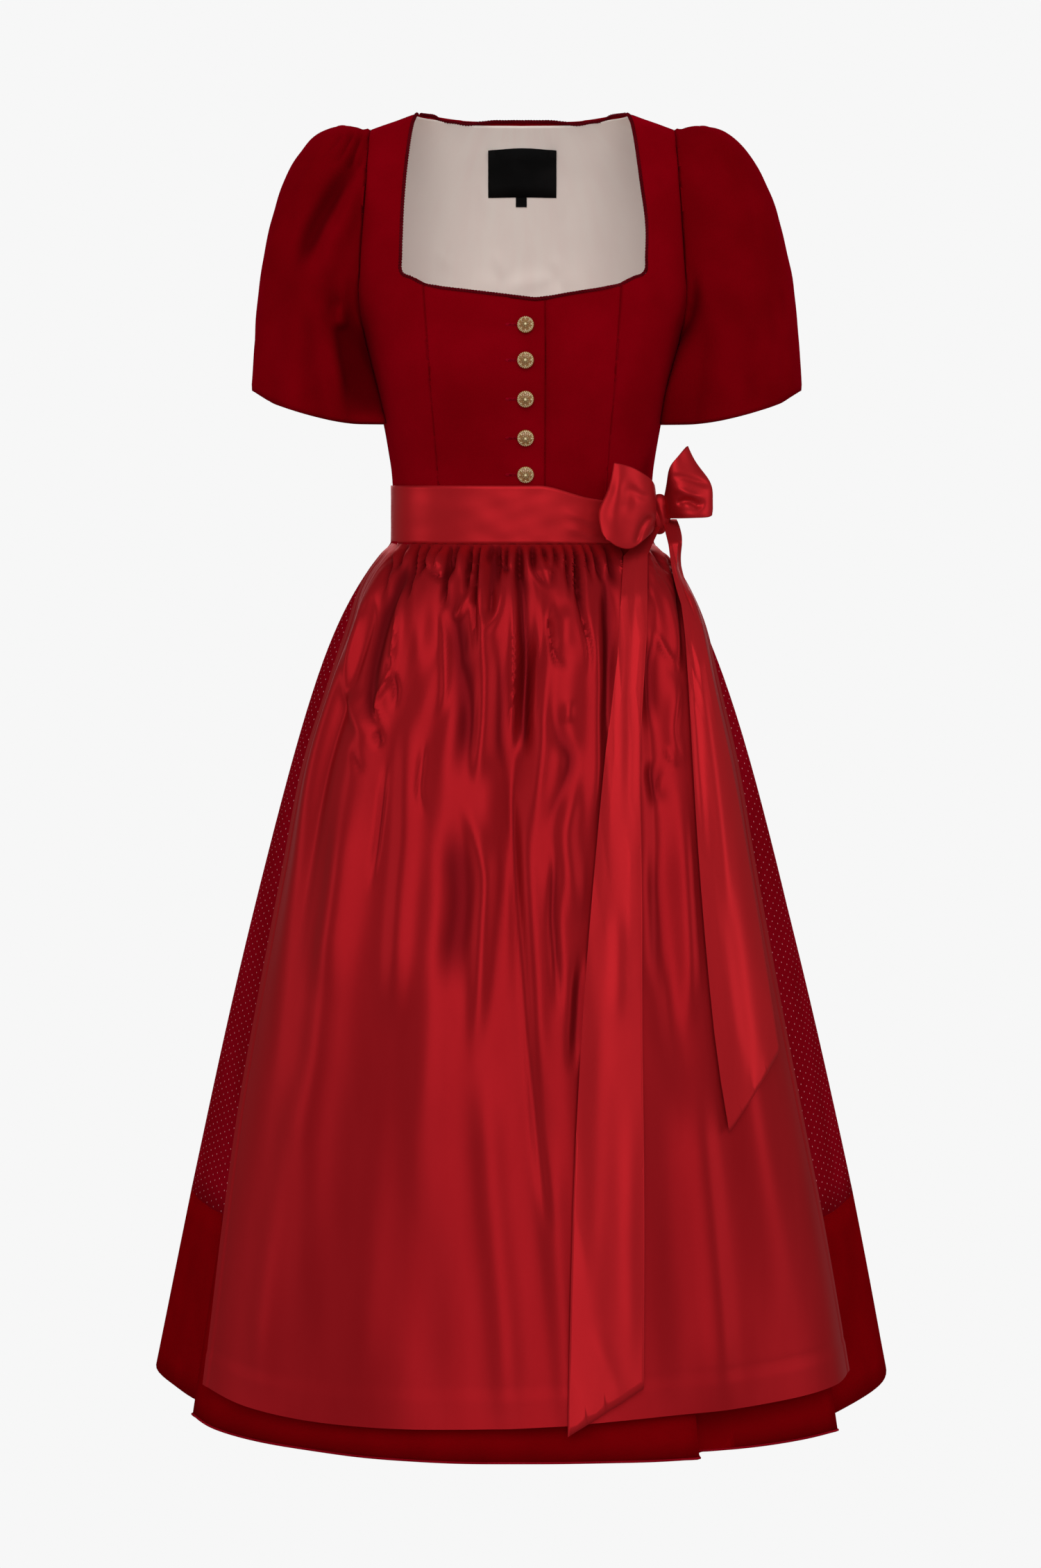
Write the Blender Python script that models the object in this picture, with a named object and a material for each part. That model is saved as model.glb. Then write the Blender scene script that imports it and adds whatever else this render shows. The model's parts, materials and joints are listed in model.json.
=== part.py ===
"""A worn dirndl, hollow, with its own apron, sash and bow.

Metres, +Z up, the front faces -Y and +X is the wearer's left. The origin is midway between the shoulders,
at the height of the neck points. Angles run round the body in degrees: 0 is the centre front and +90 the
wearer's left side.
"""
import functools
import math

import bpy
import bmesh
from mathutils import Vector

# Cloth walls and gaps
SEAM = 0.0003
PIPE_GAP = 0.0007
BUTTON_GAP = 0.0008
SLEEVE_GAP = 0.0007
VELVET = 0.0018
SKIRT_CLOTH = 0.0016
SATIN = 0.0012
LINING = 0.0010

# Heights, measured down from the neck points
BAND_TOP = -0.3587
BAND_BOTTOM = -0.4142
WAIST_SEAM = -0.3858
HEM_BAND_SEAM = -1.0550
SKIRT_HEM = -1.2360

# Shoulders and neck
NECK_HALF = 0.1025
SHOULDER_SLOPE = 0.366
SLOPE_FADE = 0.150
RIDGE_SOFTNESS = 0.030
BACK_NECK_DROP = 0.055

# The path coordinate of the torso starts at the shoulder ridge and runs down; low down it is 0.04 - height
PATH_SHIFT = 0.040
SIDE_SEAM_TOP = 0.260
BODICE_END = PATH_SHIFT - WAIST_SEAM

SQUARENESS = 0.040

# Steps for normals and searches
HALVINGS = 36
TURN_STEP = 0.5
PATH_STEP = 0.0005
RIDGE_PATH = 0.0006

# path, height, half width, depth to the front, depth to the back
TORSO = (
    (0.0000, 0.0000, 0.1720, 0.0004, 0.0004),
    (0.0150, -0.0015, 0.1720, 0.0150, 0.0150),
    (0.0300, -0.0070, 0.1720, 0.0290, 0.0300),
    (0.0500, -0.0180, 0.1720, 0.0450, 0.0470),
    (0.0800, -0.0400, 0.1725, 0.0610, 0.0660),
    (0.1100, -0.0700, 0.1730, 0.0750, 0.0820),
    (0.1400, -0.1000, 0.1740, 0.0850, 0.0900),
    (0.1900, -0.1500, 0.1740, 0.0960, 0.0980),
    (0.2250, -0.1850, 0.1670, 0.1030, 0.1000),
    (0.2560, -0.2160, 0.1545, 0.1070, 0.1000),
    (0.2822, -0.2422, 0.1480, 0.1090, 0.0985),
    (0.3044, -0.2644, 0.1420, 0.1090, 0.0970),
    (0.3387, -0.2987, 0.1348, 0.1060, 0.0940),
    (0.3683, -0.3283, 0.1305, 0.1010, 0.0915),
    (0.3987, -0.3587, 0.1258, 0.0970, 0.0895),
    (0.4260, -0.3860, 0.1255, 0.0965, 0.0890),
    (0.4550, -0.4150, 0.1260, 0.0970, 0.0895),
)

BUST_RISE = 0.013
BUST_SIDE = 0.075
BUST_WIDTH = 0.045
BUST_PATH = 0.285
BUST_HEIGHT = 0.055

# Side front panel, waist to shoulder: inner edge (distance from the centre, path), outer edge (angle, path)
SIDE_FRONT_ROWS = (
    (None, 0.4258, 90.0, 0.4258),
    (None, 0.3900, 90.0, 0.3880),
    (None, 0.3500, 90.0, 0.3500),
    (None, 0.3100, 90.0, 0.3150),
    (None, 0.2700, 90.0, 0.2850),
    (None, 0.2350, 90.0, 0.2600),
    (None, 0.2114, 84.0, 0.2570),
    (0.1060, 0.2040, 77.0, 0.2490),
    (0.1145, 0.1985, 71.0, 0.2370),
    (0.1168, 0.1900, 65.0, 0.2180),
    (0.1162, 0.1650, 59.5, 0.1950),
    (0.1140, 0.1250, 57.0, 0.1500),
    (0.1110, 0.0850, 55.5, 0.1000),
    (0.1075, 0.0500, 54.5, 0.0550),
    (0.1045, 0.0200, 53.9, 0.0220),
    (0.1025, 0.0000, 53.7, 0.0000),
)
SIDE_FRONT_COLUMNS = 5

PRINCESS_BASE = 0.0800
PRINCESS_SLOPE = 0.0730
PRINCESS_PATH = 0.3993

# Front neckline, a shallow V set a little to the wearer's left
NECK_V_X = 0.0130
NECK_V_PATH = 0.2242
NECK_END_PATH = 0.2114
LAP_X = 0.0215
LAP_BLEND = 0.0250
FRONT_ROWS = 8
OVERLAP_COLUMNS = (-0.0100, 0.0050, 0.0130, 0.0215, 0.0340, 0.0470, 0.0700)
LAP_COLUMNS = (-0.0700, -0.0450, -0.0200, 0.0020, 0.0130, 0.0215)

# Back: columns as shares of the way from its centre to its edge, the neck's last column and lowest row
BACK_COLUMNS = (0.0, 0.15, 0.30, 0.45, 0.60, 0.73, 0.87, 1.0)
BACK_NECK_COLUMN = 4
BACK_NECK_ROW = 5

LINING_REACH = 0.85
PIPE_RADIUS = 0.0016
PIPE_SIDES = 6
PIPE_DROP = 0.0008
PIPE_END_TURN = 0.6
PIPE_END_PATH = 0.0040
PIPE_LEFT_STOPS = (0.070, 0.047, 0.0255)
PIPE_RIGHT_STOPS = (-0.070, -0.040, -0.010, 0.0130, 0.0200)

BUTTON_HEIGHTS = (-0.2078, -0.2410, -0.2773, -0.3136, -0.3482)
BUTTON_X = 0.0030
BUTTON_RADIUS = 0.0080
BUTTON_STEPS = 14
# share of the radius, height of the button's profile, from the rim's foot to the crown
BUTTON_PROFILE = ((0.90, 0.0), (1.0, 0.0011), (0.94, 0.0024), (0.78, 0.0026), (0.50, 0.0044), (0.0, 0.0052))

LABEL_WIDTH = 0.0680
LABEL_HEIGHT = 0.0460
LABEL_TOP_PATH = 0.0700
LABEL_WALL = 0.0010
LABEL_SEAT = 0.0008
TAB_WIDTH = 0.0110
TAB_HEIGHT = 0.0080
TAB_SHIFT = 0.0010

# Sleeves: half width, half depth and centre of the hem ring, and how far the crown swells
SLEEVE_HEM_CENTRE = Vector((0.2030, 0.0000, -0.2850))
SLEEVE_LEFT_SHIFT = 0.0085
SLEEVE_HEM_HALF_WIDTH = 0.0605
SLEEVE_HEM_HALF_DEPTH = 0.0680
SLEEVE_HEM_TILT = 0.24
SLEEVE_HEM_FRONT_DROP = 0.0060
# How the sleeve leaves the armhole and comes to its hem, under the arm, and what the shoulder adds to it
SLEEVE_LEAD_OUT = 0.006
SHOULDER_LEAD_OUT = 0.072
SLEEVE_LEAD_FRONT = 0.020
SLEEVE_LEAD_DOWN = 0.012
SHOULDER_LEAD_UP = 0.050
SLEEVE_FALL_IN = 0.004
SLEEVE_FALL_UP = 0.030
SHOULDER_FALL_UP = 0.135
SLEEVE_COLUMNS = 24
SLEEVE_ROWS = 9
SLEEVE_ROW_POWER = 1.15
SLEEVE_START = 0.0015
SLEEVE_STEP = 0.02
SLEEVE_GATHER_DEPTH = 0.0022
SLEEVE_GATHER_TURN = 42.0
SLEEVE_GATHER_PLACE = 0.10
SLEEVE_GATHER_FADE = 0.14
SLEEVE_FOLD_RANGE = (0.10, 0.45)
SLEEVE_LEFT_FOLDS = 0.45
# angle round the sleeve from its top towards the front, half width, depth, for the hanging folds
SLEEVE_FOLDS = ((48.0, 13.0, -0.0060), (78.0, 12.0, 0.0040), (104.0, 12.0, -0.0065), (250.0, 16.0, -0.0050))

# height, half width, depth to the front, depth to the back of the skirt
SKIRT = (
    (-0.3860, 0.1265, 0.0975, 0.0900),
    (-0.4000, 0.1267, 0.0977, 0.0902),
    (-0.4142, 0.1270, 0.0980, 0.0905),
    (-0.4200, 0.1340, 0.1020, 0.0960),
    (-0.4300, 0.1425, 0.1085, 0.1035),
    (-0.4500, 0.1556, 0.1195, 0.1165),
    (-0.4800, 0.1730, 0.1330, 0.1330),
    (-0.5280, 0.1936, 0.1510, 0.1530),
    (-0.5963, 0.2162, 0.1730, 0.1770),
    (-0.6991, 0.2453, 0.2030, 0.2070),
    (-0.8370, 0.2808, 0.2400, 0.2440),
    (-0.9759, 0.3129, 0.2730, 0.2780),
    (-1.1157, 0.3446, 0.3065, 0.3120),
    (-1.2360, 0.3688, 0.3350, 0.3400),
)
SKIRT_LEVELS = (-0.3863, -0.4142, -0.4200, -0.4300, -0.4420, -0.4600, -0.4900, -0.5400, -0.6200, -0.7200,
                -0.8400, -0.9500)
HEM_LEVELS = (-1.0550, -1.1500, -1.2360)
FOLD_POWER = 1.25
# The skirt hangs a little towards the wearer's right
SKIRT_SWAY = -0.0018
SWAY_END = 0.05

# Pleats, as shares of the skirt's reach at the hem: angle, share before the fold edge, share after it
PLEATS = (
    (-172.0, 0.990, 0.945),
    (-147.0, 0.985, 0.935),
    (-121.0, 0.985, 0.940),
    (-61.0, 0.875, 0.931),
    (22.5, 1.004, 0.943),
    (51.0, 0.963, 0.884),
    (112.0, 0.985, 0.940),
    (137.0, 0.985, 0.935),
    (163.0, 0.990, 0.945),
)
# Places between the pleats that the cloth passes through: angle, share of the reach
PLEAT_BELLIES = (
    (-160.0, 0.975), (-134.0, 0.968), (-105.0, 0.990), (-90.0, 1.000), (-79.0, 0.925), (-44.0, 0.943),
    (-28.0, 0.964), (-11.0, 1.000), (5.0, 1.005), (32.0, 0.961), (42.0, 0.966), (67.0, 0.915), (81.0, 0.972),
    (91.0, 1.000), (125.0, 0.968), (150.0, 0.972), (176.0, 0.985),
)
PLEAT_TURN = 1.3
SKIRT_STEP = 9.0
SKIRT_TURN_STEP = 0.9
SKIRT_FALL_STEP = 0.002
# Skirt panels, each between two seams: name, first angle, last angle
SKIRT_PANELS = (
    ("side_right", -121.0 - PLEAT_TURN, -61.0 - PLEAT_TURN),
    ("front", -61.0 - PLEAT_TURN, 51.0 + PLEAT_TURN),
    ("side_left", 51.0 + PLEAT_TURN, 112.0 + PLEAT_TURN),
    ("back_left", 112.0 + PLEAT_TURN, 180.0),
    ("back_right", -180.0, -121.0 - PLEAT_TURN),
)

APRON_HEM_CENTRE = -1.2036
# Apron: the height of its hem and the share of the skirt's reach that it hangs at, by angle
APRON_HEM = ((-90.0, -1.190), (-55.0, -1.197), (-40.0, -1.205), (-25.0, -1.208), (0.0, -1.2036),
             (22.0, -1.1950), (50.0, -1.193), (60.0, -1.1915), (90.0, -1.190))
APRON_HANG = ((-90.0, 1.000), (-76.0, 0.945), (-60.0, 0.945), (-44.0, 0.953), (-28.0, 0.973), (-11.0, 1.006),
              (5.0, 1.012), (22.0, 1.012), (36.0, 0.990), (50.0, 0.975), (62.0, 0.935), (78.0, 0.965),
              (90.0, 1.00))
# height, distance of the right edge and of the left edge from the centre
APRON_EDGES = (
    (-0.4145, 0.1255, 0.1255),
    (-0.4500, 0.1500, 0.1540),
    (-0.5050, 0.1685, 0.1770),
    (-0.5600, 0.1888, 0.1896),
    (-0.6200, 0.2074, 0.2040),
    (-0.7500, 0.2320, 0.2255),
    (-0.9500, 0.2680, 0.2630),
    (-1.0350, 0.2795, 0.2800),
    (-1.1200, 0.2890, 0.2950),
    (-1.2100, 0.2995, 0.3100),
)
APRON_EDGE_CALM = 0.12
APRON_SEAT = 0.0008
APRON_LIFT = 0.0042
APRON_LIFT_RANGE = 0.03
APRON_PUFF = 0.0100
APRON_PUFF_FULL = 0.07
APRON_PUFF_FADE = (0.35, 0.90)
APRON_GATHERS = 20
APRON_STEP = 0.0035
APRON_LEVEL_RANGE = 0.03
GATHER_DEPTH = 0.0030
GATHER_FADE = (0.05, 0.30)
GATHER_START = 0.010
FOLD_OPENS = 0.08
FOLD_FADES = 0.25
# Main folds of the apron: share of the way across, half width as a share, depth, start and end down it
APRON_FOLDS = (
    (0.075, 0.030, 0.0050, 0.08, 0.50),
    (0.125, 0.024, -0.0070, 0.05, 0.50),
    (0.215, 0.040, 0.0070, 0.03, 1.00),
    (0.300, 0.025, -0.0050, 0.00, 0.35),
    (0.385, 0.030, 0.0050, 0.03, 0.90),
    (0.487, 0.024, -0.0100, 0.00, 0.58),
    (0.560, 0.036, 0.0065, 0.03, 1.00),
    (0.640, 0.025, -0.0040, 0.02, 0.45),
    (0.730, 0.026, -0.0070, 0.05, 0.70),
    (0.840, 0.045, 0.0060, 0.08, 0.95),
)

# Sash, knot, loops and tails
SASH_INSET = 0.0013
SASH_STEP = 6.0
BAND_ENDS = (-88.0, 86.0)
BAND_PARTING = 0.08
BAND_DIP = 0.017
BAND_DIP_STARTS = (20.0, 62.0)
BAND_DIP_ENDS = (76.0, 86.0)
KNOT_ANGLE = 70.0
KNOT_HEIGHT = -0.3815
KNOT_HALF_WIDTH = 0.0080
KNOT_HALF_HEIGHT = 0.0160
KNOT_HALF_DEPTH = 0.0085
BOW_FACING = Vector((0.35, -0.94, 0.0))
# Bow loops: corner places of the middle plane: knot end top and bottom, outer end top and bottom
LOOP_CORNERS = {
    "bow_loop_right": ((0.1232, -0.0478, -0.3690), (0.1232, -0.0478, -0.3960),
                       (0.0865, -0.1220, -0.3375), (0.0760, -0.1290, -0.4130)),
    "bow_loop_left": ((0.1403, -0.0400, -0.3670), (0.1403, -0.0400, -0.3900),
                      (0.1590, -0.0500, -0.3205), (0.1850, -0.0500, -0.3890)),
}
LOOP_ARCH = 0.0130
LOOP_THIN = 0.0026
LOOP_SWELL = 0.0180
LOOP_CUP = 0.35
LOOP_TURN_STEP = 2.0
LOOP_WIDTH_STEP = 0.05
LOOP_PATH_STEPS = 12
LOOP_WIDTH_STEPS = 6

# Tails: height, distance of the right edge and of the left edge from the centre, depth where it hangs free,
# share of the way from there onto the apron
TAIL_FRONT = (
    (-0.3979, 0.1245, 0.1330, -0.0407, 0.0),
    (-0.4240, 0.0960, 0.1190, -0.1000, 0.7),
    (-0.4450, 0.0936, 0.1180, -0.1100, 1.0),
    (-0.4900, 0.0912, 0.1167, -0.1250, 1.0),
    (-0.6220, 0.0754, 0.1088, -0.1300, 1.0),
    (-0.7380, 0.0638, 0.1101, -0.1300, 1.0),
    (-0.8410, 0.0552, 0.1095, -0.1300, 1.0),
    (-1.0070, 0.0461, 0.1107, -0.1300, 1.0),
    (-1.2097, 0.0407, 0.1089, -0.1300, 1.0),
)
TAIL_FRONT_SLANT = 0.040
TAIL_SIDE = (
    (-0.3960, 0.1343, 0.1430, -0.0395, 0.0),
    (-0.4200, 0.1400, 0.1495, -0.0860, 0.1),
    (-0.4450, 0.1445, 0.1575, -0.1050, 1.0),
    (-0.4766, 0.1518, 0.1670, -0.1100, 1.0),
    (-0.5416, 0.1557, 0.1800, -0.1200, 1.0),
    (-0.6280, 0.1597, 0.1990, -0.1300, 1.0),
    (-0.7155, 0.1645, 0.2140, -0.1300, 1.0),
    (-0.8710, 0.1779, 0.2380, -0.1300, 1.0),
    (-0.9504, 0.1900, 0.2490, -0.1300, 1.0),
)
TAIL_SIDE_SLANT = 0.066
TAIL_COLUMNS = 4
TAIL_ROWS = 15
TAIL_ROW_POWER = 1.25
TAIL_CLEAR = 0.0050

# name: base colour, roughness, metallic
FINISHES = {
    "velvet": ((0.170, 0.0010, 0.0030, 1.0), 0.80, 0.0),
    "apron_satin": ((0.400, 0.0130, 0.0180, 1.0), 0.35, 0.0),
    "dotted_cloth": ((0.150, 0.0010, 0.0030, 1.0), 0.60, 0.0),
    "hem_cloth": ((0.105, 0.0008, 0.0012, 1.0), 0.60, 0.0),
    "lining_satin": ((0.780, 0.560, 0.480, 1.0), 0.35, 0.0),
    "piping": ((0.120, 0.0030, 0.0070, 1.0), 0.60, 0.0),
    "gold": ((0.750, 0.500, 0.170, 1.0), 0.30, 1.0),
    "label_cloth": ((0.010, 0.010, 0.010, 1.0), 0.70, 0.0),
}


def clear_scene():
    """Removes every object, so that the file holds only the garment."""
    for item in list(bpy.data.objects):
        bpy.data.objects.remove(item, do_unlink=True)


def finish_material(name):
    """Returns the named finish as a material, made once."""
    material = bpy.data.materials.get(name)
    if material is None:
        colour, roughness, metallic = FINISHES[name]
        material = bpy.data.materials.new(name)
        material.use_nodes = True
        shader = material.node_tree.nodes["Principled BSDF"]
        shader.inputs["Base Color"].default_value = colour
        shader.inputs["Roughness"].default_value = roughness
        shader.inputs["Metallic"].default_value = metallic
    return material


def add_object(name, mesh, finish):
    """Puts a mesh in the scene as one named piece with its finish."""
    mesh.shade_smooth()
    mesh.set_sharp_from_angle(angle=math.radians(50.0))
    mesh.materials.append(finish_material(finish))
    piece = bpy.data.objects.new(name, mesh)
    bpy.context.scene.collection.objects.link(piece)
    return piece


def table_row(table, key):
    """Returns the table's columns after the first, at a key between its rows, on a smooth curve."""
    rising = table[-1][0] > table[0][0]
    ordered = table if rising else tuple(reversed(table))
    keys = [row[0] for row in ordered]
    key = min(max(key, keys[0]), keys[-1])
    index = 0
    while index < len(keys) - 2 and key > keys[index + 1]:
        index += 1
    span = keys[index + 1] - keys[index]
    t = (key - keys[index]) / span
    values = []
    for column in range(1, len(ordered[0])):
        def slope(i, c=column):
            if i == 0 or i == len(keys) - 1:
                j = min(max(i, 1), len(keys) - 1)
                return (ordered[j][c] - ordered[j - 1][c]) / (keys[j] - keys[j - 1])
            before = (ordered[i][c] - ordered[i - 1][c]) / (keys[i] - keys[i - 1])
            after = (ordered[i + 1][c] - ordered[i][c]) / (keys[i + 1] - keys[i])
            if before * after <= 0.0:
                return 0.0
            return 2.0 * before * after / (before + after)
        low, high = ordered[index][column], ordered[index + 1][column]
        h00 = 2.0 * t ** 3 - 3.0 * t ** 2 + 1.0
        h10 = t ** 3 - 2.0 * t ** 2 + t
        h01 = 3.0 * t ** 2 - 2.0 * t ** 3
        h11 = t ** 3 - t ** 2
        values.append(h00 * low + h10 * span * slope(index) + h01 * high + h11 * span * slope(index + 1))
    return values


def ease(low, high, value):
    """Returns 0 below low, 1 above high and a smooth step between."""
    t = min(max((value - low) / (high - low), 0.0), 1.0)
    return t * t * (3.0 - 2.0 * t)


def bell(distance, half_width):
    """Returns 1 at distance 0, falling smoothly to 0 past the half width."""
    return math.exp(-(distance / half_width) ** 2)


def round_section(angle, half_width, front, back):
    """Returns x and y on the body's oval at an angle in degrees."""
    turn = math.radians(angle)
    across = (math.sin(turn) + SQUARENESS * math.sin(3.0 * turn)) / (1.0 - SQUARENESS)
    along = (math.cos(turn) - SQUARENESS * math.cos(3.0 * turn)) / (1.0 - SQUARENESS)
    depth = front if along > 0.0 else back
    return half_width * across, -depth * along


def torso_point(angle, path):
    """Returns the point of the bodice's outer face at an angle and a path below the shoulder ridge."""
    height, half_width, front, back = table_row(TORSO, path)
    x, y = round_section(angle, half_width, front, back)
    if y < 0.0:
        y -= BUST_RISE * bell(abs(x) - BUST_SIDE, BUST_WIDTH) * bell(path - BUST_PATH, BUST_HEIGHT)
    soft_neck = math.hypot(NECK_HALF, RIDGE_SOFTNESS)
    shift = SHOULDER_SLOPE * (soft_neck - math.hypot(x, RIDGE_SOFTNESS))
    return Vector((x, y, height + shift * (1.0 - ease(0.0, SLOPE_FADE, path))))


def surface_normal(point_at, a, b, step_a, step_b):
    """Returns the outward unit normal of a surface point_at(a, b), where a runs round and b runs down."""
    round_way = point_at(a + step_a, b) - point_at(a - step_a, b)
    down_way = point_at(a, b + step_b) - point_at(a, b - step_b)
    normal = round_way.cross(down_way).normalized()
    return -normal


def torso_normal(angle, path):
    """Returns the bodice's outward normal, taken just below the shoulder ridge where the path is on it."""
    return surface_normal(torso_point, angle, max(path, RIDGE_PATH), TURN_STEP, PATH_STEP)


def torso_out(angle, path, out):
    """Returns the point moved out from the bodice's outer face."""
    return torso_point(angle, path) + torso_normal(angle, path) * out


def angle_reaching(goal, value_at, low=0.0, high=89.9):
    """Returns the angle between low and high at which a rising value_at(angle) reaches the goal."""
    for _ in range(HALVINGS):
        middle = 0.5 * (low + high)
        if value_at(middle) < goal:
            low = middle
        else:
            high = middle
    return 0.5 * (low + high)


def angle_at_x(x, path):
    """Returns the angle at which the torso lies a distance x from the centre, in front."""
    half_width = table_row(TORSO, path)[1]
    return angle_reaching(x, lambda angle: round_section(angle, half_width, 1.0, 1.0)[0], low=-89.9)


def wall(name, outer, inner, finish, ring=False):
    """Builds one closed wall between two equal grids of points, open at its ends or round as a ring."""
    mesh = bpy.data.meshes.new(name)
    shape = bmesh.new()
    rows, columns = len(outer), len(outer[0])
    outside = [[shape.verts.new(point) for point in row] for row in outer]
    inside = [[shape.verts.new(point) for point in row] for row in inner]
    last = columns if ring else columns - 1
    for r in range(rows - 1):
        for c in range(last):
            d = (c + 1) % columns
            shape.faces.new((outside[r][c], outside[r][d], outside[r + 1][d], outside[r + 1][c]))
            shape.faces.new((inside[r][c], inside[r + 1][c], inside[r + 1][d], inside[r][d]))
    for c in range(last):
        d = (c + 1) % columns
        shape.faces.new((outside[0][c], inside[0][c], inside[0][d], outside[0][d]))
        shape.faces.new((outside[-1][c], outside[-1][d], inside[-1][d], inside[-1][c]))
    if not ring:
        for r in range(rows - 1):
            shape.faces.new((outside[r][0], outside[r + 1][0], inside[r + 1][0], inside[r][0]))
            shape.faces.new((outside[r][-1], inside[r][-1], inside[r + 1][-1], outside[r + 1][-1]))
    bmesh.ops.recalc_face_normals(shape, faces=shape.faces)
    bmesh.ops.triangulate(shape, faces=shape.faces)
    shape.to_mesh(mesh)
    shape.free()
    return add_object(name, mesh, finish)


def torso_panel(name, lattice, finish, outer=0.0, thickness=VELVET, lift=None):
    """Builds a bodice piece from rows of (angle, path), raised off the body by lift(angle, path)."""
    raised = lift if lift else lambda angle, path: 0.0
    outside = [[torso_out(a, p, outer + raised(a, p)) for a, p in row] for row in lattice]
    inside = [[torso_out(a, p, outer + raised(a, p) - thickness) for a, p in row] for row in lattice]
    return wall(name, outside, inside, finish)


def seam_angle(path):
    """Returns half a seam's gap as an angle on the torso at a path."""
    half_width, front = table_row(TORSO, path)[1:3]
    return math.degrees(0.75 * SEAM / max(min(half_width, front), 0.02))


def princess_x(path):
    """Returns the distance of the princess seam from the centre front."""
    return PRINCESS_BASE + PRINCESS_SLOPE * (PRINCESS_PATH - path)


def build_side_front(side):
    """Builds one side front panel with its shoulder strap."""
    lattice = []
    for inner_x, inner_path, outer_angle, outer_path in SIDE_FRONT_ROWS:
        x = princess_x(inner_path) if inner_x is None else inner_x
        gap = seam_angle(inner_path) if inner_x is None else 0.0
        first = angle_at_x(x, inner_path) + gap
        last = outer_angle - (seam_angle(outer_path) if outer_path >= SIDE_SEAM_TOP else 0.0)
        row = []
        for column in range(SIDE_FRONT_COLUMNS + 1):
            share = column / SIDE_FRONT_COLUMNS
            angle = first + (last - first) * share
            row.append((side * angle, inner_path + (outer_path - inner_path) * share))
        lattice.append(row)
    word = "left" if side > 0 else "right"
    torso_panel("bodice_side_front_" + word, lattice, "velvet")


def neck_path(x):
    """Returns the path of the front neckline's lower edge at a distance from the centre."""
    end = princess_x(NECK_END_PATH)
    reach = end - NECK_V_X if x > NECK_V_X else end + NECK_V_X
    return NECK_V_PATH - (NECK_V_PATH - NECK_END_PATH) * min(abs(x - NECK_V_X) / reach, 1.0)


def front_lattice(columns, princess_side):
    """Returns the rows of a centre front panel whose last column lies on the princess seam of that side."""
    lattice = []
    for r in range(FRONT_ROWS + 1):
        share = r / FRONT_ROWS
        row = []
        for x in columns:
            top = neck_path(x)
            path = BODICE_END + (top - BODICE_END) * share
            row.append((angle_at_x(x, path), path))
        path = BODICE_END + (NECK_END_PATH - BODICE_END) * share
        seam = princess_side * (angle_at_x(princess_x(path), path) - seam_angle(path))
        if princess_side > 0:
            row.append((seam, path))
        else:
            row.insert(0, (seam, path))
        lattice.append(row)
    return lattice


def underlap_sink(angle, path):
    """Returns how far the left front sinks where the right front laps over it."""
    x = torso_point(angle, path).x
    return -(VELVET + SEAM) * (1.0 - ease(LAP_X + SEAM, LAP_X + LAP_BLEND, x))


def build_fronts():
    """Builds the two centre fronts, the right one lapping over the left one."""
    torso_panel("bodice_front_left", front_lattice(OVERLAP_COLUMNS, 1), "velvet", lift=underlap_sink)
    torso_panel("bodice_front_right", front_lattice(LAP_COLUMNS, -1), "velvet")


def back_lattice():
    """Returns the rows of the back, from the waist to the shoulder seams and the neckline."""
    lattice = []
    top = len(SIDE_FRONT_ROWS) - 1
    for index, (_, _, outer_angle, outer_path) in enumerate(SIDE_FRONT_ROWS):
        reach = outer_angle - (seam_angle(outer_path) if outer_path >= SIDE_SEAM_TOP else 0.0)
        rise = ease(BACK_NECK_ROW, top, index)
        row = []
        for u in [-c for c in reversed(BACK_COLUMNS[1:])] + list(BACK_COLUMNS):
            back_angle = reach * u
            neck_share = abs(u) / BACK_COLUMNS[BACK_NECK_COLUMN]
            dip = BACK_NECK_DROP * max(0.0, 1.0 - neck_share ** 4) * rise
            row.append((180.0 - back_angle, outer_path + dip))
        lattice.append(row)
    return lattice


def build_back():
    """Builds the back in one panel, and the satin lining that shows inside it."""
    lattice = back_lattice()
    torso_panel("bodice_back", lattice, "velvet")
    outer = [[torso_out(a, p, -(VELVET + SEAM)) for a, p in row] for row in lattice]
    inner = [[torso_out(a, p, -(VELVET + SEAM + LINING)) for a, p in row] for row in lattice]
    for grid in (outer, inner):
        grid[-1] = [low.lerp(high, LINING_REACH) for low, high in zip(grid[-2], grid[-1])]
    wall("back_lining", outer, inner, "lining_satin")


def tube(name, points, radius, sides, finish):
    """Builds a closed round cord along a line of points."""
    mesh = bpy.data.meshes.new(name)
    shape = bmesh.new()
    rings = []
    normal = None
    for index, point in enumerate(points):
        after = points[min(index + 1, len(points) - 1)]
        before = points[max(index - 1, 0)]
        along = (after - before).normalized()
        if normal is None:
            normal = along.orthogonal().normalized()
        normal = (normal - along * normal.dot(along)).normalized()
        side = along.cross(normal)
        ring = []
        for k in range(sides):
            turn = 2.0 * math.pi * k / sides
            ring.append(shape.verts.new(point + (normal * math.cos(turn) + side * math.sin(turn)) * radius))
        rings.append(ring)
    for ring, following in zip(rings, rings[1:]):
        for k in range(sides):
            m = (k + 1) % sides
            shape.faces.new((ring[k], ring[m], following[m], following[k]))
    shape.faces.new(rings[0])
    shape.faces.new(list(reversed(rings[-1])))
    bmesh.ops.recalc_face_normals(shape, faces=shape.faces)
    shape.to_mesh(mesh)
    shape.free()
    return add_object(name, mesh, finish)


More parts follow.
